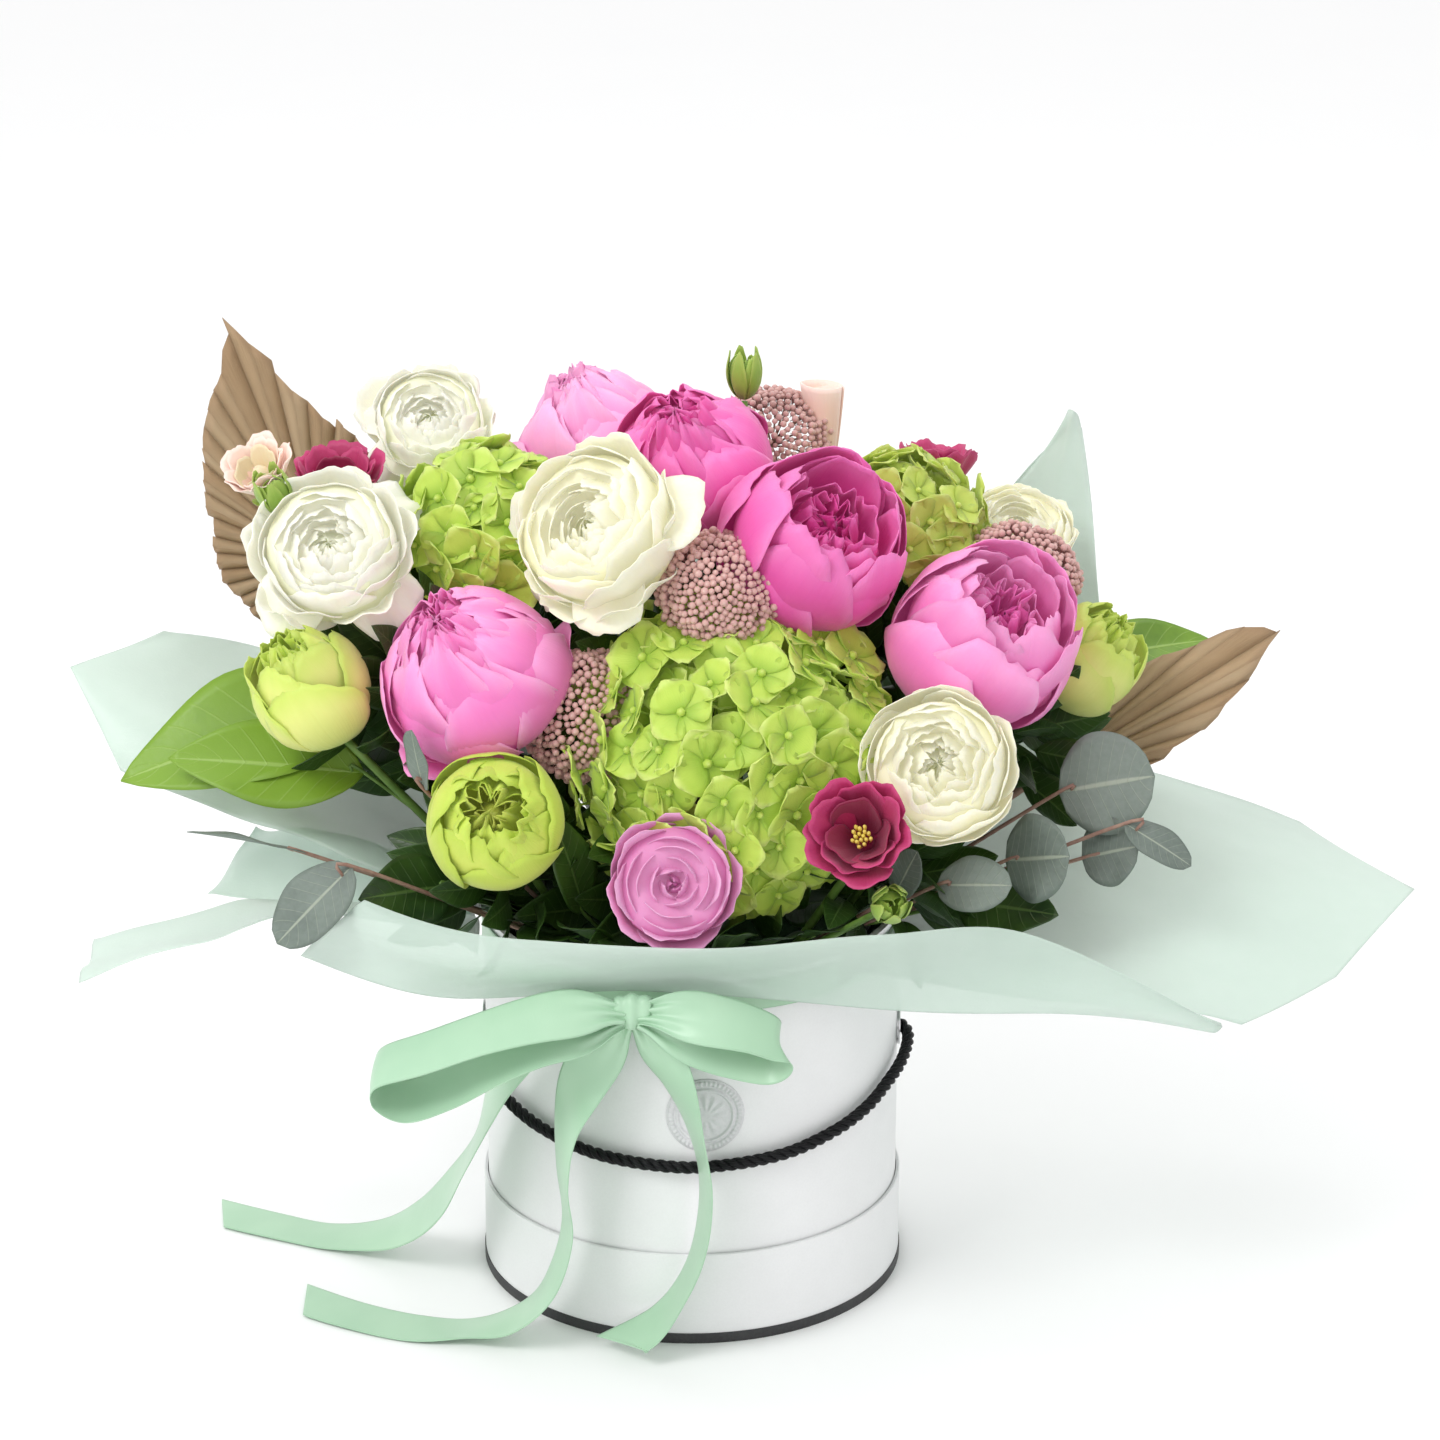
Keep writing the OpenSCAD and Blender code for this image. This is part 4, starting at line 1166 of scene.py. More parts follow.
class Scatter(Tree):
    """A Geometry Nodes tree that sets pieces over a dome, in the golden turn order."""

    SIZES = ("Radius", "Depth", "Reach", "Uneven", "Lumps", "Least", "Most", "Lean")
    NAMES = (
        ("Count", "Int"),
        *((size, "Float") for size in SIZES),
        ("Seed", "Int"),
        ("Piece", "Object"),
        ("Finish", "Material"),
    )

    def __init__(self) -> None:
        """Builds the tree once, with named inputs for its sizes."""
        group = bpy.data.node_groups.new("scatter_on_dome", "GeometryNodeTree")
        super().__init__(group)
        face = group.interface
        face.new_socket("Geometry", in_out="INPUT", socket_type="NodeSocketGeometry")
        for name, kind in self.NAMES:
            face.new_socket(name, in_out="INPUT", socket_type="NodeSocket" + kind)
        face.new_socket("Geometry", in_out="OUTPUT", socket_type="NodeSocketGeometry")
        self.ids = {i.name: i.identifier for i in face.items_tree if i.in_out == "INPUT"}
        entry = group.nodes.new("NodeGroupInput")
        self.given = {o.name: Value(self, o) for o in entry.outputs if o.name}
        self._wire()

    def _chance(self, low: object, high: object, salt: int, kind: str = "FLOAT") -> Value:
        """A random number or vector for each point."""
        base = 0 if kind == "FLOAT_VECTOR" else 2
        return self.node(
            "FunctionNodeRandomValue",
            {"data_type": kind},
            {base: low, base + 1: high, "Seed": self.given["Seed"] + salt},
            out=0 if kind == "FLOAT_VECTOR" else 1,
        )

    def _wire(self) -> None:
        """Points on the dome, turned outwards, with a piece on each."""
        g = self.given
        i = self.node("GeometryNodeInputIndex")
        z = 1 - (i + 0.5) / g["Count"] * g["Reach"] * 2.0
        ring = (1 - z * z).apply("MAXIMUM", 0.0).apply("SQRT")
        turn = i * GOLDEN
        x, y = ring * turn.apply("COSINE"), ring * turn.apply("SINE")
        ball = self.vector(X=x, Y=y, Z=z + g["Seed"])
        lumps = (self.noise(ball, 2.6, 1.0) - 0.5) * g["Lumps"]
        swell = g["Radius"] * (self._chance(-1.0, 1.0, 1) * g["Uneven"] + lumps + 1.0)
        at = self.vector(X=x * swell, Y=y * swell, Z=z * swell * g["Depth"])
        points = self.node("GeometryNodePoints", {}, {"Count": g["Count"], "Position": at})
        out = self.node("ShaderNodeVectorMath", {"operation": "NORMALIZE"}, {0: at})
        face = self.node(
            "FunctionNodeAlignRotationToVector", {"axis": "Z"}, {"Vector": out}
        )
        lean = self.node(
            "ShaderNodeVectorMath",
            {"operation": "SCALE"},
            {0: self._chance((-1, -1, -5), (1, 1, 5), 2, "FLOAT_VECTOR"), "Scale": g["Lean"]},
        )
        tilt = self.node("FunctionNodeEulerToRotation", {}, {0: lean})
        both = self.node(
            "FunctionNodeRotateRotation", {"rotation_space": "LOCAL"}, {0: face, 1: tilt}
        )
        piece = self.node(
            "GeometryNodeObjectInfo", {}, {"Object": g["Piece"], "As Instance": True},
            out="Geometry",
        )
        placed = self.node(
            "GeometryNodeInstanceOnPoints",
            {},
            {
                "Points": points,
                "Instance": piece,
                "Rotation": both,
                "Scale": self._chance(g["Least"], g["Most"], 3),
            },
        )
        marked = self.node(
            "GeometryNodeStoreNamedAttribute",
            {"data_type": "FLOAT", "domain": "INSTANCE"},
            {"Geometry": placed, "Name": "chance", "Value": self._chance(0.0, 1.0, 4)},
        )
        real = self.node("GeometryNodeRealizeInstances", {}, {0: marked})
        dressed = self.node(
            "GeometryNodeSetMaterial", {}, {"Geometry": real, "Material": g["Finish"]}
        )
        self.node("NodeGroupOutput", {}, {"Geometry": dressed})

    def bake(
        self,
        name: str,
        piece: Shell,
        finish: Petal | Leaf | Plain,
        turn: Points,
        place: Points,
        thick: float,
        **sizes: float,
    ) -> bpy.types.Object:
        """Sets copies of a piece over a dome and makes them one plain mesh.

        Args:
            name: The new object's name.
            piece: What is repeated, standing on the origin along +Z.
            finish: What it is made of.
            turn: The dome's frame, as columns.
            place: The dome's middle.
            thick: Thickness of each sheet, or 0.
            **sizes: Values of the tree's named inputs.

        Returns:
            The object, at the origin.
        """
        material = Shelf.get(finish)
        seed = piece.object(name + "_seed", material, thick, weld=not thick)
        host = put(name + "_host", bpy.data.meshes.new(name + "_host"))
        grow = host.modifiers.new("Scatter", "NODES")
        grow.node_group = self.tree
        for key, value in {**sizes, "Piece": seed, "Finish": material}.items():
            grow[self.ids[key]] = value
        graph = bpy.context.evaluated_depsgraph_get()
        mesh = bpy.data.meshes.new_from_object(host.evaluated_get(graph))
        whole = np.eye(4)
        whole[:3, :3], whole[:3, 3] = turn, place
        mesh.transform(Matrix(whole.tolist()))
        mesh.shade_smooth()
        mesh.name = name
        for old in (host, seed):
            bpy.data.objects.remove(old)
        return put(name, mesh)


def floret(size: float, rng: np.random.Generator) -> Shell:
    """Four rounded, crossed petals round a small button, standing on +Z."""
    shell = Shell()
    s = np.linspace(0, 1, 6)[:, None]
    u = np.linspace(-1, 1, 6)[None, :]
    for i in range(4):
        a = i * math.pi / 2 + rng.normal(0, 0.10)
        half = np.sin(math.pi * np.clip(s, 0.02, 1) ** 0.85 * 0.88) * (0.60 + rng.uniform(0, 0.08))
        x = s * (1 - 0.12 * u * u)
        y = u * half
        cup = 0.34 * y * y + 0.05 * np.sin(5 * u + i) * s + 0.10 * (i % 2) * s
        z = cup + 0.10 + (0.22 - 0.10 * i) * s * s
        cos, sin = math.cos(a), math.sin(a)
        p = np.stack([x * cos - y * sin, x * sin + y * cos, z], axis=-1)
        shell.grid(p * size, 0.8, rng.random())
    stub = np.array([[0, 0, z] for z in (-0.6, 0.02, 0.10, 0.20, 0.26)])
    shell.tube(stub * size, np.array([0.03, 0.04, 0.12, 0.12, 0.04]) * size, 6)
    return shell


def seed_bud(size: float) -> Shell:
    """A tiny round bud on a short stalk."""
    shell = Shell()
    path = np.array([[0, 0, z] for z in (-2.2, -0.6, -0.3, 0.5, 1.0, 1.2)])
    shell.tube(path * size, np.array([0.12, 0.14, 0.8, 1.0, 0.6, 0.1]) * size, 7)
    return shell


def blade(
    length: float, width: float, full: float, fold: float, droop: float, rng: np.random.Generator
) -> Points:
    """A leaf blade from the origin along +X, facing +Z.

    Args:
        length: From base to tip.
        width: At its widest.
        full: 0 for a pointed leaf, 1 for a round one.
        fold: How far the halves rise from the midrib, as a share of the width.
        droop: How far the tip bends down, as a share of the length.
        rng: Where its waves come from.

    Returns:
        Its points, along then across.
    """
    s = np.linspace(0, 1, 19)[:, None]
    u = np.linspace(-1, 1, 11)[None, :]
    pointed = np.sin(math.pi * s**0.8)
    rounded = np.sqrt(np.sin(math.pi * s).clip(0))
    half = width / 2 * (full * rounded + (1 - full) * pointed) + width * 0.004
    wave = 0.045 * width * np.sin(9 * s + rng.uniform(0, 6)) * np.abs(u) ** 2
    z = fold * width * np.abs(u) ** 1.2 * (half / half.max()) + wave * np.sin(math.pi * s)
    z = z - droop * length * s**2 + 0.25 * droop * length * s
    return np.stack([s * length + 0 * u, u * half, z + 0 * u], axis=-1)


@dataclass(frozen=True)
class Cluster:
    """Many small pieces over a dome: a mop head, a spray of buds or a filling of leaves.

    Attributes:
        name: The piece's name.
        node: The CAD node it stands for, or nothing.
        place: The dome's middle over the rim, in millimetres.
        faces: Where the dome's top points.
        radius: The dome's radius in millimetres.
        depth: Its height as a share of the radius.
        reach: How much of the ball it covers, 0 to 1.
        count: How many small pieces.
        size: The small piece's size in millimetres.
        uneven: How much each one's distance from the middle differs.
        lumps: How much the dome as a whole swells and dips.
        lean: How far each one tilts.
        finish: What it is made of.
        seed: Where its chances come from.
    """

    name: str
    node: str
    place: Triple
    faces: Triple
    radius: float
    depth: float
    reach: float
    count: int
    size: float
    uneven: float
    lumps: float
    lean: float
    finish: Petal | Leaf
    seed: int

    def build(
        self, scatter: Scatter, piece: Callable[[float, np.random.Generator], Shell], thick: float
    ) -> None:
        """Bakes the cluster and puts it on the box."""
        rng = np.random.default_rng(self.seed)
        made = scatter.bake(
            self.name,
            piece(self.size * MM, rng),
            self.finish,
            axes_for(self.faces),
            spot(self.place),
            thick,
            Count=self.count,
            Radius=self.radius * MM,
            Depth=self.depth,
            Reach=self.reach,
            Uneven=self.uneven,
            Lumps=self.lumps,
            Least=0.8,
            Most=1.15,
            Lean=self.lean,
            Seed=self.seed,
        )
        settle(made, self.finish, *((self.node,) if self.node else ()))


FLORETS = (
    Cluster(
        "hydrangea_front", "hydrangea_1", (20, -45, 88), (0, -0.75, 0.65),
        68, 0.85, 0.66, 112, 15.5, 0.06, 0.34, 0.42, LIME, 61,
    ),
    Cluster(
        "hydrangea_left", "hydrangea_2", (-94, 30, 166), (-0.3, -0.3, 0.9),
        41, 0.9, 0.62, 46, 14.5, 0.06, 0.30, 0.42, LIME, 62,
    ),
    Cluster(
        "hydrangea_right", "hydrangea_3", (98, 50, 162), (0.3, -0.1, 0.95),
        38, 0.9, 0.62, 44, 13.0, 0.06, 0.30, 0.42, PALE_LIME, 63,
    ),
)
CORES = tuple(
    replace(
        mop, name=mop.name + "_core", node="", radius=radius, reach=0.66, count=count, size=size,
        uneven=0.05, lumps=0.3, lean=0.5, seed=mop.seed + 3,
    )
    for mop, radius, count, size in zip(FLORETS, (54, 32, 29), (90, 44, 40), (14.5, 13.5, 12.5))
)
SPRAYS = tuple(
    Cluster(
        f"rice_flower_{i}", node, place, faces, radius, depth, 0.62, count, size,
        0.07, 0.16, 0.1, ROSE_BUD, 70 + i,
    )
    for i, (node, place, faces, radius, depth, count, size) in enumerate((
        ("rice_flower_front", (13, -40, 164), (0.1, -0.7, 0.7), 26, 0.75, 560, 3.5),
        ("", (-46, -44, 106), (-0.1, -0.75, 0.65), 29, 0.85, 560, 3.5),
        ("rice_flower_back", (39, 95, 199), (0.1, -0.4, 0.9), 25, 0.7, 400, 3.3),
        ("", (155, 25, 153), (0.3, -0.3, 0.9), 25, 0.7, 400, 3.3),
    ), 1)
)
FILLING = tuple(
    Cluster(
        "leaf_filling_" + name, node, place, faces, radius, 1.0, reach, count, size,
        0.12, 0.2, 0.12, DARK, 80 + i,
    )
    for i, (name, node, place, faces, radius, reach, count, size) in enumerate((
        ("low", "leaf_collar", (0, 0, 4), (0, 0, 1), 70, 0.46, 120, 46),
        ("middle", "", (0, 34, 82), (0, 0, 1), 56, 0.5, 90, 46),
        ("left", "", (-92, 16, 76), (-0.3, -0.2, 1), 34, 0.5, 44, 42),
        ("right", "", (92, 20, 74), (0.3, -0.2, 1), 38, 0.5, 50, 42),
        ("far_left", "", (-122, 8, 100), (-0.4, -0.3, 1), 32, 0.5, 44, 40),
        ("far_right", "", (134, 6, 74), (0.4, -0.2, 1), 28, 0.5, 30, 38),
        ("front_right", "", (78, -44, 26), (0.5, -0.4, 1), 28, 0.5, 34, 38),
        ("front_left", "", (-76, -44, 26), (-0.5, -0.4, 1), 28, 0.5, 34, 38),
    ), 1)
)


@dataclass
class Clusters:
    """Mop heads, sprays of buds and the leaves that fill the gaps."""

    twigs: Shell = field(default_factory=Shell)

    def build(self) -> None:
        """Makes every cluster with one tree."""
        scatter = Scatter()
        for cluster in FLORETS + CORES:
            cluster.build(scatter, floret, 0.0003)
        for cluster in SPRAYS:
            cluster.build(scatter, lambda size, rng: seed_bud(size / 2), 0.0)
        for cluster in FILLING:
            cluster.build(scatter, self._upright_leaf, SKIN)
        self._rim_leaves()
        self._stalks()

    def _rim_leaves(self) -> None:
        """Leaves that lean out over the rim and hide it."""
        rng, shell = np.random.default_rng(9), Shell()
        for turn in (
            -164, -150, -143, -136, -128, -118, -106, -93, -80, -68, -52, -36, -20, -4, 16, 34, 52,
            80, 106, 134, 150, 166, 184, 202, 216, -176, -170, -157, -12, -28, 6,
        ):
            a = math.radians(turn)
            out = np.array([math.cos(a), math.sin(a), 0])
            start = out * 0.088 + [0, 0, (RIM_Z + 8) * MM]
            way = unit(out * 34 + [0, 0, 12 + rng.uniform(0, 16)])
            side = unit(np.cross([0, 0, 1], way))
            leaf = Shell()
            leaf.grid(blade(0.038, 0.027, 0.2, 0.1, 0.1, rng), 0.5, rng.random())
            shell.join(leaf.moved(np.stack([way, side, np.cross(way, side)], axis=1), start))
            twig = np.stack([start - out * 0.03 - [0, 0, 0.02], start + way * 0.004])
            self.twigs.tube(along(twig, np.linspace(0, 1, 5)), 0.0008, 6)
        shell.piece("rim_leaves", DARK, thick=SKIN)

    def _upright_leaf(self, size: float, rng: np.random.Generator) -> Shell:
        """A leaf that stands on its base along +Z."""
        p = blade(size, size * 0.5, 0.15, 0.12, 0.18, rng)
        shell = Shell()
        shell.grid(np.stack([p[..., 2], p[..., 1], p[..., 0]], axis=-1), 0.5, 0.5)
        return shell

    def _stalks(self) -> None:
        """Stems of the mop heads and brown forked stalks of the sprays."""
        green, brown = self.twigs, Shell()
        for cluster, foot in zip(FLORETS, ((8, -12), (-34, 22), (44, 12))):
            start = np.array([*foot, FOOT_Z]) * MM
            end = spot(cluster.place)
            green.tube(np.linspace(start, end, 6), 2 * MM, 10)
            self._forks(green, cluster, 14, 0.86, 0.8)
        feet = ((-4, 30), (-42, -4), (8, 62), (54, 18))
        for cluster, foot in zip(SPRAYS, feet):
            start = np.array([*foot, FOOT_Z]) * MM
            end = spot(cluster.place) - unit(cluster.faces) * 14 * MM
            brown.tube(np.linspace(start, end, 6), 1.6 * MM, 8)
            self._forks(brown, cluster, 18, 0.92, 0.5)
        green.piece("mop_stalks", STALK, weld=True)
        brown.piece("spray_stalks", TWIG, weld=True)

    def _forks(
        self, shell: Shell, cluster: Cluster, count: int, share: float, thick: float
    ) -> None:
        """Thin stalks from the middle of a cluster out to its pieces."""
        turn, middle = axes_for(cluster.faces), spot(cluster.place)
        low = middle - unit(cluster.faces) * cluster.radius * 0.3 * MM
        for i in range(count):
            z = 1 - (i + 0.5) / count * cluster.reach * 2
            ring, a = math.sqrt(max(1 - z * z, 0)), i * GOLDEN
            tip = np.array([ring * math.cos(a), ring * math.sin(a), z * cluster.depth])
            end = middle + turn @ tip * cluster.radius * share * MM
            bend = (low + end) / 2 + (middle - low) * 0.2
            shell.tube(along(np.stack([low, bend, end]), np.linspace(0, 1, 6)), thick * MM, 6)


# ---------------------------------------------------------------- leaves


@dataclass(frozen=True)
class Spray:
    """Leaves on twigs of their own: base, tip, face, width and foot in millimetres."""

    name: str
    node: str
    finish: Leaf
    full: float
    leaves: tuple[tuple[Point, Point, Point, float, Point], ...]
    fold: float = 0.10
    droop: float = 0.10
    seed: int = 1

    def build(self) -> None:
        """Makes the blades, and their twigs as a second piece."""
        rng = np.random.default_rng(self.seed)
        blades, twigs = Shell(), Shell()
        for base, tip, face, width, foot in self.leaves:
            start, end = spot(base), spot(tip)
            t = unit(end - start)
            b = unit(np.cross(face, t))
            turn = np.stack([t, b, np.cross(t, b)], axis=1)
            length = np.linalg.norm(end - start)
            leaf = Shell()
            p = blade(length, width * MM, self.full, self.fold, self.droop, rng)
            leaf.grid(p, 0.5, rng.random())
            blades.join(leaf.moved(turn, start))
            low = np.array([foot[0], foot[1], FOOT_Z]) * MM
            route = np.stack([low, (low + start) / 2, start, start + t * 6 * MM])
            twigs.tube(along(route, np.linspace(0, 1, 14)), np.linspace(1.3, 0.7, 14) * MM, 8)
        blades.piece(self.name + "_blades", self.finish, self.node, thick=SKIN)
        twigs.piece(self.name + "_twigs", TWIG if self.finish is GREY else STALK, weld=True)


SPRAYS_OF_LEAVES = (
    Spray("leaves_left", "leaf_sprig_left", BRIGHT, 0.2, (
        ((-150, 8, 96), (-263, -25, 72), (0.1, -0.6, 0.8), 62, (-32, 12)),
        ((-150, -22, 70), (-238, -34, 84), (0, -0.75, 0.65), 44, (-24, -7)),
    ), seed=1),
    Spray("leaves_right", "leaf_sprig_right", BRIGHT, 0.2, (
        ((180, 68, 92), (250, 80, 104), (-0.2, -0.6, 0.8), 34, (40, 21)),
        ((120, 70, 60), (188, 98, 78), (0, -0.3, 0.95), 34, (21, 17)),
    ), seed=2),
    Spray("leaves_front", "leaf_sprig_front", DARK, 0.2, (
        ((-108, -66, 32), (-146, -96, 38), (0.3, -0.8, 0.5), 34, (-18, -12)),
        ((-48, -80, 24), (-58, -98, 78), (0.8, -0.6, 0), 26, (-10, -20)),
        ((122, -62, 22), (164, -88, 28), (-0.2, -0.7, 0.7), 36, (-7, 6)),
    ), seed=3),
    Spray("leaves_back", "leaf_sprig_back", DARK, 0.2, (
        ((-70, 110, 60), (-96, 140, 140), (-0.3, 0.9, 0.3), 52, (-28, 44)),
        ((-10, 120, 50), (-14, 150, 130), (0, 0.9, 0.3), 50, (-4, 52)),
        ((30, 114, 60), (44, 140, 130), (0.3, 0.9, 0.3), 46, (12, 52)),
        ((98, 88, 56), (118, 104, 116), (0.6, 0.7, 0.3), 40, (30, 40)),
    ), seed=4),
    Spray("eucalyptus_right", "eucalyptus_right", GREY, 1.0, (
        ((168, -42, 68), (210, -52, 80), (-0.2, -0.85, 0.5), 48, (34, 3)),
        ((142, -76, 48), (168, -96, 58), (0.1, -0.9, 0.4), 40, (18, -12)),
        ((178, -58, 42), (202, -68, 52), (-0.3, -0.8, 0.5), 32, (-1, -1)),
        ((196, -66, 62), (226, -76, 46), (0.3, -0.7, 0.7), 18, (11, -9)),
    ), 0.05, 0.06, seed=5),
    Spray("eucalyptus_left", "eucalyptus_left", GREY, 1.0, (
        ((-150, -98, 54), (-184, -110, 22), (-0.3, -0.8, 0.5), 30, (-6, -16)),
        ((-174, -62, 46), (-226, -70, 62), (0, 0.3, 0.95), 24, (3, -9)),
        ((-118, -82, 84), (-124, -88, 114), (-0.8, -0.6, 0.2), 18, (-24, -26)),
    ), 0.05, 0.06, seed=6),
    Spray("eucalyptus_front", "eucalyptus_front", GREY, 1.0, (
        ((110, -96, 44), (142, -110, 50), (0, -0.8, 0.6), 26, (10, -20)),
        ((92, -88, 36), (100, -102, 62), (-0.6, -0.8, 0.2), 18, (16, -20)),
    ), 0.05, 0.06, seed=7),
)


@dataclass(frozen=True)
class Spear:
    """A pleated palm spear, cut to an outline, with pleats that fan from its base."""

    name: str
    node: str
    base: Triple
    tip: Triple
    face: Triple
    foot: tuple[float, float]
    edge: tuple[tuple[float, float], ...]
    pleats: int
    seed: int

    def _reach(self, angle: float) -> float:
        """How far the outline lies from the base at an angle."""
        ray = np.array([math.cos(angle), math.sin(angle)])
        best = 0.0
        pts = np.array(self.edge, float)
        for a, b in zip(pts, np.roll(pts, -1, axis=0)):
            d = b - a
            cross = ray[0] * d[1] - ray[1] * d[0]
            if abs(cross) < 1e-9:
                continue
            t = (a[0] * d[1] - a[1] * d[0]) / cross
            k = (a[0] * ray[1] - a[1] * ray[0]) / cross
            if t > 0 and -1e-6 <= k <= 1 + 1e-6:
                best = max(best, t)
        return best

    def build(self) -> None:
        """Makes one narrow folded strip for each pleat, and the stalk."""
        rng = np.random.default_rng(self.seed)
        edges = np.linspace(-math.pi, math.pi, 2 * self.pleats + 1)
        edges[1:-1] += rng.normal(0, 0.008, len(edges) - 2)
        start, end = spot(self.base), spot(self.tip)
        t = unit(end - start)
        b = unit(np.cross(self.face, t))
        n = np.cross(t, b)
        shell = Shell()
        s = np.linspace(0.03, 1, 14)
        trim = 1.0
        for i in range(2 * self.pleats):
            if i % 2 == 0:
                trim = rng.uniform(0.93, 1.0)
            rows = []
            for j, a in enumerate((edges[i], (edges[i] + edges[i + 1]) / 2, edges[i + 1])):
                reach = self._reach(a) * trim * (1 - rng.uniform(0, 0.012))
                ridge = (1 if (i + (j == 2)) % 2 else -1) * (0 if j == 1 else 1)
                rise = ridge * 1.9 * np.sqrt(s) + 2.5 * np.sin(2.2 * a + 1.4 * s) * s
                x, y = reach * s * math.cos(a), reach * s * math.sin(a)
                rows.append((x[:, None] * t + y[:, None] * b + rise[:, None] * n) * MM + start)
            shell.grid(np.stack(rows, axis=1), 0.5, rng.random())
        shell.piece(self.name, REED, self.node, thick=0.0005)
        stalk = Shell()
        foot = np.array([*self.foot, FOOT_Z]) * MM
        route = np.stack([foot, (foot + start) / 2, start, start + t * 8 * MM])
        stalk.tube(along(route, np.linspace(0, 1, 12)), 2 * MM, 10)
        stalk.piece(self.name + "_stalk", TWIG, weld=True)


SPEARS = (
    Spear(
        "palm_spear_left", "palm_left", (-181, 110, 131), (-228, 122, 253), (-0.1, -0.95, 0.2),
        (-24, 29), (
            (131, 0), (110, 9), (100, 20), (83, 32), (50, 42), (7, 53), (-23, 39),
            (-10, 12), (-10, -14), (11, -48), (45, -43), (82, -25), (110, -11),
        ), 38, 1,
    ),
    Spear("palm_spear_right", "palm_right", (162, 22, 50), (278, 36, 122), (-0.2, -0.7, 0.7), (30, 8), (
        (142, 0), (118, 14), (97, 17), (68, 24), (40, 28), (10, 12),
        (6, -10), (21, -24), (59, -27), (89, -24), (122, -12),
    ), 44, 2),
)


class Greenery:
    """Sprays of leaves and palm spears."""

    def build(self) -> None:
        """Makes every spray and spear."""
        for spray in SPRAYS_OF_LEAVES:
            spray.build()
        for spear in SPEARS:
            spear.build()


# ---------------------------------------------------------------- film


@dataclass(frozen=True)
class Sheet:
    """One film sheet: rows of control points, and the flat size it was cut to in metres."""

    node: str
    rows: tuple[tuple[Triple, ...], ...]
    flat: tuple[float, float]
    seed: int

    def build(self) -> None:
        """Makes the sheet with soft creases and a slightly wavy edge."""
        grid = np.array([[spot(p) for p in row] for row in self.rows])
        u, v = np.linspace(0, 1, 61), np.linspace(0, 1, 31)
        lines = np.stack([along(row, u) for row in grid])
        whole = v * (len(lines) - 1)
        low = np.minimum(whole.astype(int), len(lines) - 2)
        part = (whole - low)[:, None, None]
        crisp = (2 * np.abs(u - 0.5)[None, :, None]) ** 3
        flat = lines[low] * (1 - part) + lines[low + 1] * part
        p = along(lines, v) * (1 - crisp) + flat * crisp
        normal = np.cross(np.gradient(p, axis=1), np.gradient(p, axis=0))
        normal /= np.linalg.norm(normal, axis=-1, keepdims=True)
        rng = np.random.default_rng(self.seed)
        a, b, c = rng.uniform(0, 6.28, 3)
        uu, vv = u[None, :], v[:, None]
        rim = 0.4 + 0.6 * np.maximum(np.abs(2 * uu - 1), np.abs(2 * vv - 1)) ** 3
        wave = np.sin(8 * uu + 3 * vv + a) + 0.7 * np.sin(4 * uu - 8 * vv + b)
        wave = wave + 0.5 * np.abs(np.sin(6 * uu - 2.4 * vv + c)) + 0.3 * np.sin(19 * uu + 5 * vv + c)
        shell = Shell()
        shell.grid(p + normal * (0.0024 * wave * rim)[..., None])
        name = self.node.replace("film", "film_sheet")
        made = shell.piece(name, FROST, self.node, thick=0.00025)


SHEETS = (
    Sheet("film_front", (
        ((-175, -90, 8), (-112, -104, -8), (-22, -104, -1), (85, -104, -8), (165, -112, -11),
         (232, -118, -19)),
        ((-160, -102, 26), (-98, -118, 12), (-6, -122, 16), (85, -120, 12), (156, -118, 8), (237, -120, -14)),
        ((-144, -112, 43), (-84, -128, 33), (5, -138, 32), (84, -132, 34), (148, -124, 34), (234, -122, -8)),
    ), (0.40, 0.05), 1),
    Sheet("film_right", (
        ((68, -86, -6), (150, -94, -10), (205, -98, -16), (248, -103, -20)),
        ((90, -50, -1), (170, -55, 1), (235, -60, -7), (296, -62, -14)),
        ((103, 0, 5), (185, 5, 17), (265, 10, 9), (344, 17, -3)),
        ((92, 50, 9), (165, 75, 31), (232, 98, 25), (300, 98, 1)),
    ), (0.22, 0.19), 2),
    Sheet("film_back_right", (
        ((50, 112, 22), (120, 108, 25), (190, 92, 29)),
        ((100, 128, 97), (150, 126, 107), (200, 114, 102)),
        ((180, 134, 190), (186, 132, 201), (189, 130, 192)),
    ), (0.10, 0.19), 3),
    Sheet("film_back", (
        ((-95, 104, 13), (-30, 128, 15), (36, 124, 13)),
        ((-135, 140, 70), (-40, 172, 80), (50, 164, 70)),
        ((-160, 168, 130), (-50, 208, 160), (66, 200, 130)),
    ), (0.19, 0.15), 4),
    Sheet("film_left_back", (
        ((-94, -40, 4), (-165, -32, 39), (-215, -12, 46), (-268, 10, 60)),
        ((-103, 15, 7), (-180, 30, 53), (-240, 42, 77), (-295, 50, 98)),
        ((-72, 76, 11), (-150, 100, 60), (-205, 108, 88), (-255, 90, 103)),
    ), (0.20, 0.11), 5),
    Sheet("film_left_front", (
        ((-96, -68, 1), (-171, -80, 25), (-225, -80, 9), (-277, -80, -11)),
        ((-101, -16, 1), (-174, -42, 18), (-228, -34, 5), (-280, -20, -12)),
    ), (0.18, 0.045), 6),
    Sheet("film_left_low", (
        ((-103, -16, -5), (-180, -10, 1), (-228, 0, 0)),
        ((-101, 28, -2), (-170, 44, 13), (-210, 50, 19)),
    ), (0.12, 0.05), 7),
)


# ---------------------------------------------------------------- ribbon


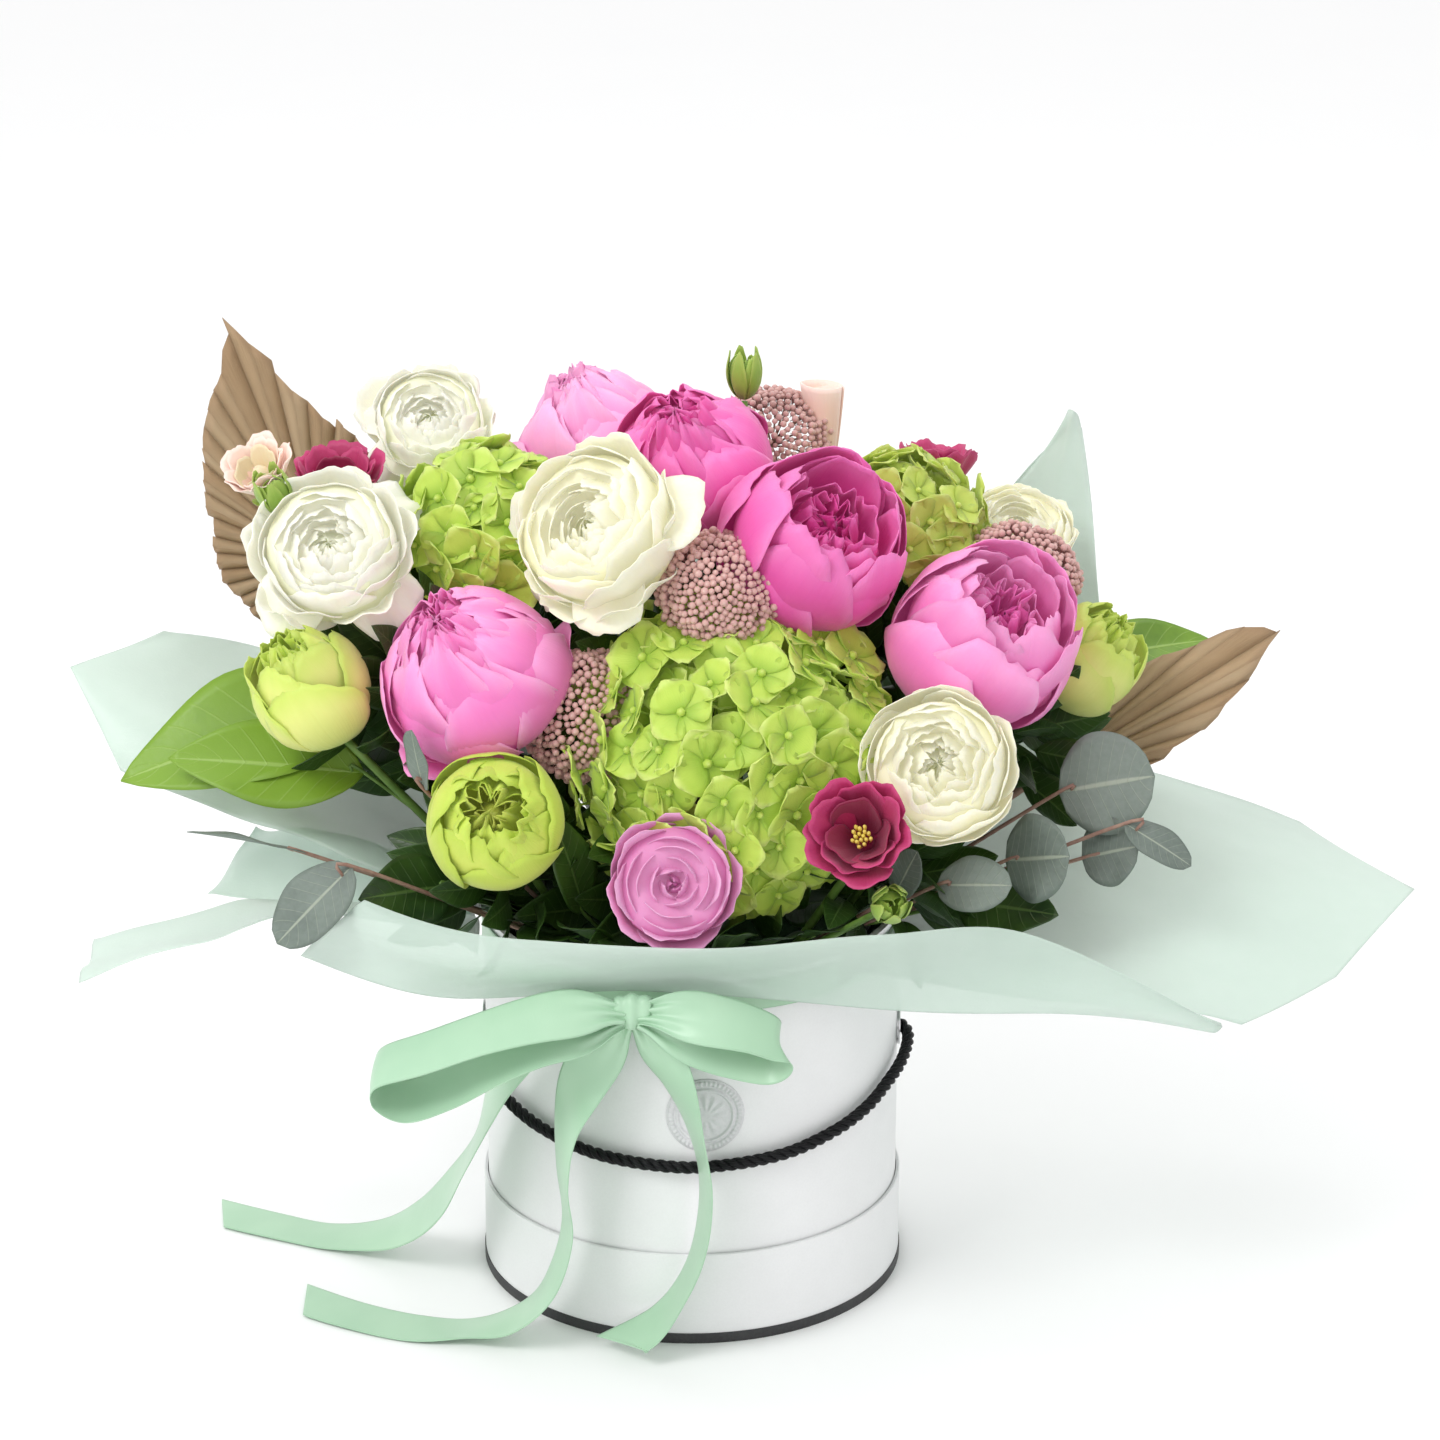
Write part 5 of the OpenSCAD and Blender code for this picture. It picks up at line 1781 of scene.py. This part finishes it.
@dataclass(frozen=True)
class Strip:
    """A ribbon run: points over the rim, each with the way its width runs."""

    name: str
    node: str
    route: tuple[tuple[Triple, Triple], ...]
    length: float
    held: str
    on_table: bool = False
    notch: bool = False
    pinched: tuple[float, float] = (0.0, 0.0)

    def build(self) -> None:
        """Makes the strip, gently crowned across, and declares its cut size."""
        p = np.array([spot(q[0]) for q in self.route])
        side = np.array([unit(q[1]) for q in self.route])
        s = np.linspace(0, 1, 12 * (len(p) - 1) + 1)
        mid, wide = along(p, s), along(side, s)
        way, run = heading(mid), run_of(mid)
        wide -= (wide * way).sum(axis=1, keepdims=True) * way
        wide /= np.linalg.norm(wide, axis=1, keepdims=True)
        skin = np.cross(way, wide)
        u = np.linspace(-1, 1, 25)
        first, last = self.pinched
        near = np.maximum(
            np.exp(-((run / 0.016) ** 2)) * first,
            np.exp(-(((run[-1] - run) / 0.016) ** 2)) * last,
        )[:, None]
        crown = 0.0008 * (1 - u**2)[None, :] * (0.4 if self.on_table else 1)
        crown = crown + near * 0.0013 * np.sin(9 * u + 1)[None, :]
        half = (1 - 0.62 * near) * (RIBBON_WIDTH / 2) * u[None, :]
        grid = mid[:, None] + wide[:, None] * half[..., None] + skin[:, None] * crown[..., None]
        if self.notch:
            cut = smooth(s, 0.90, 1.0)[:, None] * (u[None, :] + 1) * 0.009
            grid = grid - way[:, None] * cut[..., None]
        shell = Shell()
        shell.grid(grid)
        made = shell.object(self.name, Shelf.get(SATIN), 0.00035)
        LOG.info("%s: length %.4f", self.name, run[-1])
        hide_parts(self.node)
        if self.on_table:
            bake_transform(made)
        else:
            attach(made, "box")


STRIPS = (
    Strip("bow_left", "bow_loop_left", (
        ((-29, -120, -8), (-0.1, -0.5, -0.8)), ((-42, -124, -5), (-0.15, -0.65, -0.7)),
        ((-64, -128, -6), (-0.2, -0.8, -0.6)),
        ((-90, -131, -12), (-0.2, -0.85, -0.5)), ((-117, -131, -22), (-0.2, -0.85, -0.5)),
        ((-138, -127, -31), (-0.1, -0.88, -0.42)), ((-140, -123, -42), (0, -0.88, -0.42)),
        ((-127, -123, -49), (0.1, -0.88, -0.42)), ((-107, -125, -41), (0.15, -0.86, -0.46)),
        ((-87, -126, -29), (0.2, -0.85, -0.5)), ((-66, -125, -19), (0.25, -0.75, -0.6)),
        ((-46, -123, -15), (0.3, -0.6, -0.7)), ((-30, -119, -11), (0.3, -0.5, -0.8)),
    ), 0.255, "folded", pinched=(1.0, 1.0)),
    Strip("bow_right", "bow_loop_right", (
        ((-23, -120, -8), (0.0, -0.5, -0.8)), ((-8, -124, -6), (0.1, -0.5, -0.8)),
        ((10, -127, -8), (0.2, -0.65, -0.75)),
        ((28, -126, -13), (0.3, -0.7, -0.65)), ((41, -124, -21), (0.3, -0.7, -0.65)),
        ((35, -121, -29), (0.2, -0.7, -0.65)), ((16, -119, -26), (0.1, -0.65, -0.75)),
        ((0, -119, -20), (0, -0.5, -0.8)), ((-12, -119, -15), (0, -0.5, -0.8)),
        ((-22, -118, -11), (0, -0.5, -0.8)),
    ), 0.15, "folded", pinched=(1.0, 1.0)),
    Strip("tail_left", "ribbon_tail_left", (
        ((-31, -117, -10), (0.4, -0.3, -1)), ((-52, -115, -14), (0.6, -0.3, -0.8)),
        ((-72, -107, -24), (0.8, -0.5, -0.5)), ((-84, -95, -46), (0.4, -0.88, -0.3)),
        ((-93, -80, -72), (0.12, -0.95, -0.3)), ((-103, -62, -104), (-0.15, -0.98, -0.35)),
        ((-117, -42, -135), (0, -0.95, -0.4)), ((-133, -22, -159), (0, -0.98, -0.3)),
        ((-152, -6, -174), (0, -1, -0.1)), ((-178, 6, -181), (0, -1, 0)),
        ((-209, 20, TABLE), (-0.3, -1, 0)), ((-240, 36, TABLE), (-0.5, -1, 0)),
    ), 0.345, "hung", True, True, (1.0, 0.0)),
    Strip("tail_middle", "ribbon_tail_middle", (
        ((-28, -117, -11), (0.8, 0, -0.6)), ((-37, -114, -26), (0.9, -0.1, -0.4)),
        ((-48, -112, -44), (0.75, -0.5, -0.3)),
        ((-56, -112, -66), (0.42, -0.88, -0.1)), ((-58, -112, -92), (0.24, -0.97, 0)),
        ((-56, -112, -118), (0.22, -0.97, 0)), ((-63, -109, -145), (0.1, -0.97, -0.2)),
        ((-78, -100, -168), (-0.2, -0.95, -0.22)), ((-100, -92, -179), (0, -0.97, 0.12)),
        ((-128, -88, TABLE), (0, -1, 0)), ((-160, -74, TABLE), (-0.3, -1, 0)),
        ((-190, -54, TABLE), (-0.5, -1, 0)),
    ), 0.31, "hung", True, True, (1.0, 0.0)),
    Strip("tail_right", "ribbon_tail_right", (
        ((-24, -117, -11), (0.8, 0, 0.6)), ((-14, -115, -27), (0.8, -0.4, 0.45)),
        ((-5, -116, -44), (0.62, -0.75, 0.2)),
        ((2, -118, -66), (0.36, -0.93, 0.05)), ((7, -119, -92), (0.25, -0.97, 0)),
        ((5, -118, -120), (0.2, -0.98, 0)), ((-3, -114, -146), (0.12, -0.98, -0.05)),
        ((-17, -113, -167), (0.1, -0.95, -0.25)), ((-40, -118, -178), (0.2, -0.95, -0.2)),
    ), 0.185, "hung", True, True, (1.0, 0.0)),
)


class Wrapping:
    """Film collar and satin bow."""

    def build(self) -> None:
        """Makes the sheets, the ribbon runs, the knot and the band."""
        for sheet in SHEETS:
            sheet.build()
        for strip in STRIPS:
            strip.build()
        self._knot()
        self._band()

    def _knot(self) -> None:
        """A pinched band of ribbon with gathers that run round it."""
        v = np.linspace(0, 1, 41)[:, None]
        u = np.linspace(0, 1, 17)[None, :]
        a = 2 * math.pi * v
        gather = 0.6 * np.sin(5 * math.pi * u + 0.6 * np.sin(a)) * (1 - (2 * u - 1) ** 4)
        bulge = 1 - 0.25 * (2 * u - 1) ** 2
        r_y, r_z = (5.0 * bulge + gather), (8.0 * bulge + gather)
        x = (u - 0.5) * 17 + 0.8 * np.sin(a)
        p = np.stack([x + 0 * a, -np.cos(a) * r_y, np.sin(a) * r_z], axis=-1) * MM
        shell = Shell()
        shell.grid(p + spot((-26, -117, -8)))
        made = shell.piece("bow_knot_wrap", SATIN, "bow_knot", thick=0.0005, weld=True)

    def _band(self) -> None:
        """The run round the box under the rim."""
        a = np.linspace(0, 2 * math.pi, 145)[:-1]
        u = np.linspace(0, 1, 9)
        z = RIM_Z - 3 - 14 * u
        r = BOX_R + 0.8 + 0.25 * np.sin(3 * a)[None, :] * np.sin(math.pi * u)[:, None]
        p = turned(r, a, z[:, None]) * MM
        shell = Shell()
        shell.grid(np.concatenate([p, p[:, :1]], axis=1).swapaxes(0, 1))
        made = shell.piece("ribbon_run", SATIN, "ribbon_band", thick=0.0004, weld=True)


# ---------------------------------------------------------------- rope and box


ROPE_HALF = (
    (0, -102.5, 91), (16, -101, 91.5), (31.5, -97.5, 92.5), (46.5, -91.5, 94),
    (60, -83, 96.5), (72.5, -72.5, 99.5), (83, -60, 103), (91, -46.5, 107),
    (97.6, -33, 110.5), (101.4, -21, 114), (102.6, -11, 117), (100.2, -4.9, 118.6),
    (95, -1.5, 119.5), (89, 0, 120),
)


@dataclass
class Handle:
    """The rope handle and its two stopper knots."""

    diameter: float = 6.0
    strands: int = 3
    pitch: float = 15.0

    def route(self) -> Points:
        """The rope's own line in metres, from knot to knot."""
        half = np.array(ROPE_HALF, float)
        whole = np.concatenate([half[:0:-1] * [-1, 1, 1], half])
        return along(whole, np.linspace(0, 1, 361)) * MM

    def build(self) -> None:
        """Twists the strands along the route and ties the knots."""
        line = self.route()
        way, run = heading(line), run_of(line)
        side = unit(np.cross(way[0], [0, 0, 1]))
        sides = []
        for w in way:
            side = unit(side - side.dot(w) * w)
            sides.append(side)
        sides = np.array(sides)
        cross = np.cross(way, sides)
        shell = Shell()
        lay = self.diameter * 0.25 * MM
        for k in range(self.strands):
            a = 2 * math.pi * (run / (self.pitch * MM) + k / self.strands)
            path = line + lay * (np.cos(a)[:, None] * sides + np.sin(a)[:, None] * cross)
            shell.tube(path, self.diameter * 0.25 * MM, 10, k / 3)
        rope = shell.piece("rope", ROPE, "handle_rope", weld=True, body="handle")
        knots = self._knots()

    def _knots(self) -> bpy.types.Object:
        """Two overhand knots, each a strand wound three times round the rope's end."""
        shell = Shell()
        for sign in (-1, 1):
            t = np.linspace(0, 1, 90)
            a = 2 * math.pi * 3 * t
            r = 3.6 * np.sin(math.pi * np.clip(t, 0.03, 0.97)) ** 0.35
            x = sign * (80.5 + 7 * t)
            path = np.stack([x, r * np.cos(a), HANDLE_Z + r * np.sin(a)], axis=1) * MM
            shell.tube(path, 2.1 * MM, 9, 0.4)
            core = np.array([[sign * x, 0, HANDLE_Z] for x in (89.0, 84.0, 79.5)]) * MM
            shell.tube(along(core, np.linspace(0, 1, 6)), 2.6 * MM, 9, 0.6)
        return shell.piece("rope_knots", ROPE, "handle_knots", weld=True, body="handle")


class Box:
    """Board box, lid, edging, eyelets, liner, foam and seal."""

    DRESS = {
        "lid_disc": BOARD, "lid_band": BOARD, "box_wall": BOARD, "box_base": BOARD,
        "lid_trim": TAPE, "eyelets": NICKEL, "liner": LINER, "foam": FOAM,
    }

    def build(self) -> None:
        """Dresses the CAD nodes, then makes the seal and the board's fine lines."""
        for node, finish in self.DRESS.items():
            piece = frame["nodes"][node]
            piece.data.materials.clear()
            piece.data.materials.append(Shelf.get(finish))
            LOG.info("%s: dressed in %s", node, finish.name)
        self._seal()
        self._board_lines()

    def _seal(self) -> None:
        """A round paper seal with a ribbed outer ring, an inner ring and a fluted dome."""
        rho = np.linspace(0, 1, 61)[:, None]
        a = np.linspace(0, 2 * math.pi, 193)[None, :-1]
        relief = 0.10 * smooth(rho, 1.0, 0.985)
        ribs = 0.65 + 0.35 * np.cos(48 * a)
        relief = relief + 0.55 * (smooth(rho, 0.80, 0.83) - smooth(rho, 0.93, 0.96)) * ribs
        relief = relief + 0.45 * (smooth(rho, 0.66, 0.69) - smooth(rho, 0.73, 0.76))
        relief = relief + 0.40 * smooth(rho, 0.6, 0.2)
        flute = 0.16 * (smooth(rho, 0.12, 0.3) - smooth(rho, 0.5, 0.6)) * np.cos(12 * a)
        height = (BOX_R + 0.35 + 1.7 * relief + 1.5 * flute) * MM
        out, up = SEAL_R * rho * np.cos(a), SEAL_R * rho * np.sin(a)
        turn = math.radians(-90 + 4) + out / BOX_R
        p = turned(height, turn, (SEAL_Z + up) * MM)
        back = turned((BOX_R + 0.05) * MM, turn, (SEAL_Z + up) * MM)
        shell = Shell()
        for skin in (p, back[::-1], np.stack([p[-1], back[-1]])):
            shell.grid(skin, ring=True)
        shell.piece("seal", SEAL, "seal_label", weld=True)

    def _board_lines(self) -> None:
        """The turned paper edge on the lid's mouth, and the glued overlap at the back."""
        shell = Shell()
        a = np.linspace(0, 2 * math.pi, 181)
        for inset in (1.1, 0.5):
            shell.tube(turned(LID_R - inset, a, LID_H + 0.1) * MM, 0.22 * MM, 6)
        shell.piece("lid_lip", BOARD, weld=True, body="lid")
        lap = Shell()
        turn = np.radians(np.linspace(84, 90, 7))[None, :]
        z = np.linspace(48, 164, 12)[:, None]
        lap.grid(turned(BOX_R + 0.12, turn, z) * MM)
        lap.piece("paper_lap", BOARD, thick=0.0002)


# ---------------------------------------------------------------- studio


@dataclass
class Studio:
    """Camera, floor and soft lights."""

    eye: Triple = (0.0135, -1.7833, 0.9055)
    pitch: float = 19.59
    lens: float = 101.94

    def camera(self) -> None:
        """Looks a little down at the box from the front."""
        data = bpy.data.cameras.new("camera")
        data.lens, data.sensor_width = self.lens, 36
        data.clip_start, data.clip_end = 0.05, 60
        made = put("camera", data)
        made.location = self.eye
        made.rotation_euler = (math.radians(90 - self.pitch), 0, 0)
        bpy.context.scene.camera = made

    def light(self) -> None:
        """Sets a white sky and two soft panels."""
        scene = bpy.context.scene
        scene.view_settings.view_transform = "Standard"
        world = bpy.data.worlds.new("sky")
        world.use_nodes = True
        sky = world.node_tree.nodes["Background"]
        sky.inputs["Color"].default_value = (1, 1, 1, 1)
        sky.inputs["Strength"].default_value = 1.0
        scene.world = world
        for name, place, size, power, aim in (
            ("key", (-1.2, -1.3, 2.0), 0.9, 24, (0, 0, 0.25)),
            ("top", (0.2, 0.6, 2.2), 1.2, 8, (0, 0, 0.2)),
        ):
            data = bpy.data.lights.new(name, "AREA")
            data.shape, data.size, data.energy = "SQUARE", size, power
            made = put(name, data)
            made.location = place
            way = Vector(aim) - Vector(place)
            made.rotation_euler = way.to_track_quat("-Z", "Y").to_euler()

    def floor(self) -> None:
        """Lays a wide pale floor just under the lid."""
        mesh = bpy.data.meshes.new("floor")
        r = 14.0
        mesh.from_pydata([(-r, -r, 0), (r, -r, 0), (r, r, 0), (-r, r, 0)], [], [(0, 1, 2, 3)])
        made = put("floor", mesh)
        s = Surface("pale_floor")
        speck = s.noise(s.place(), 6.0, 2.0)
        mesh.materials.append(
            s.finish(
                Base_Color=s.mix(speck, (0.93, 0.93, 0.935), (0.95, 0.95, 0.95)),
                Roughness=speck * 0.1 + 0.35,
                Specular_IOR_Level=0.3,
            )
        )


def main() -> None:
    """Builds the flower box in order: camera and rope first."""
    logging.basicConfig(level=logging.INFO, format="%(name)s: %(message)s")
    studio = Studio()
    studio.camera()
    Handle().build()
    Box().build()
    Wrapping().build()
    Greenery().build()
    Clusters().build()
    Bouquet().build()
    studio.light()
    studio.floor()


if __name__ == "__main__":
    main()
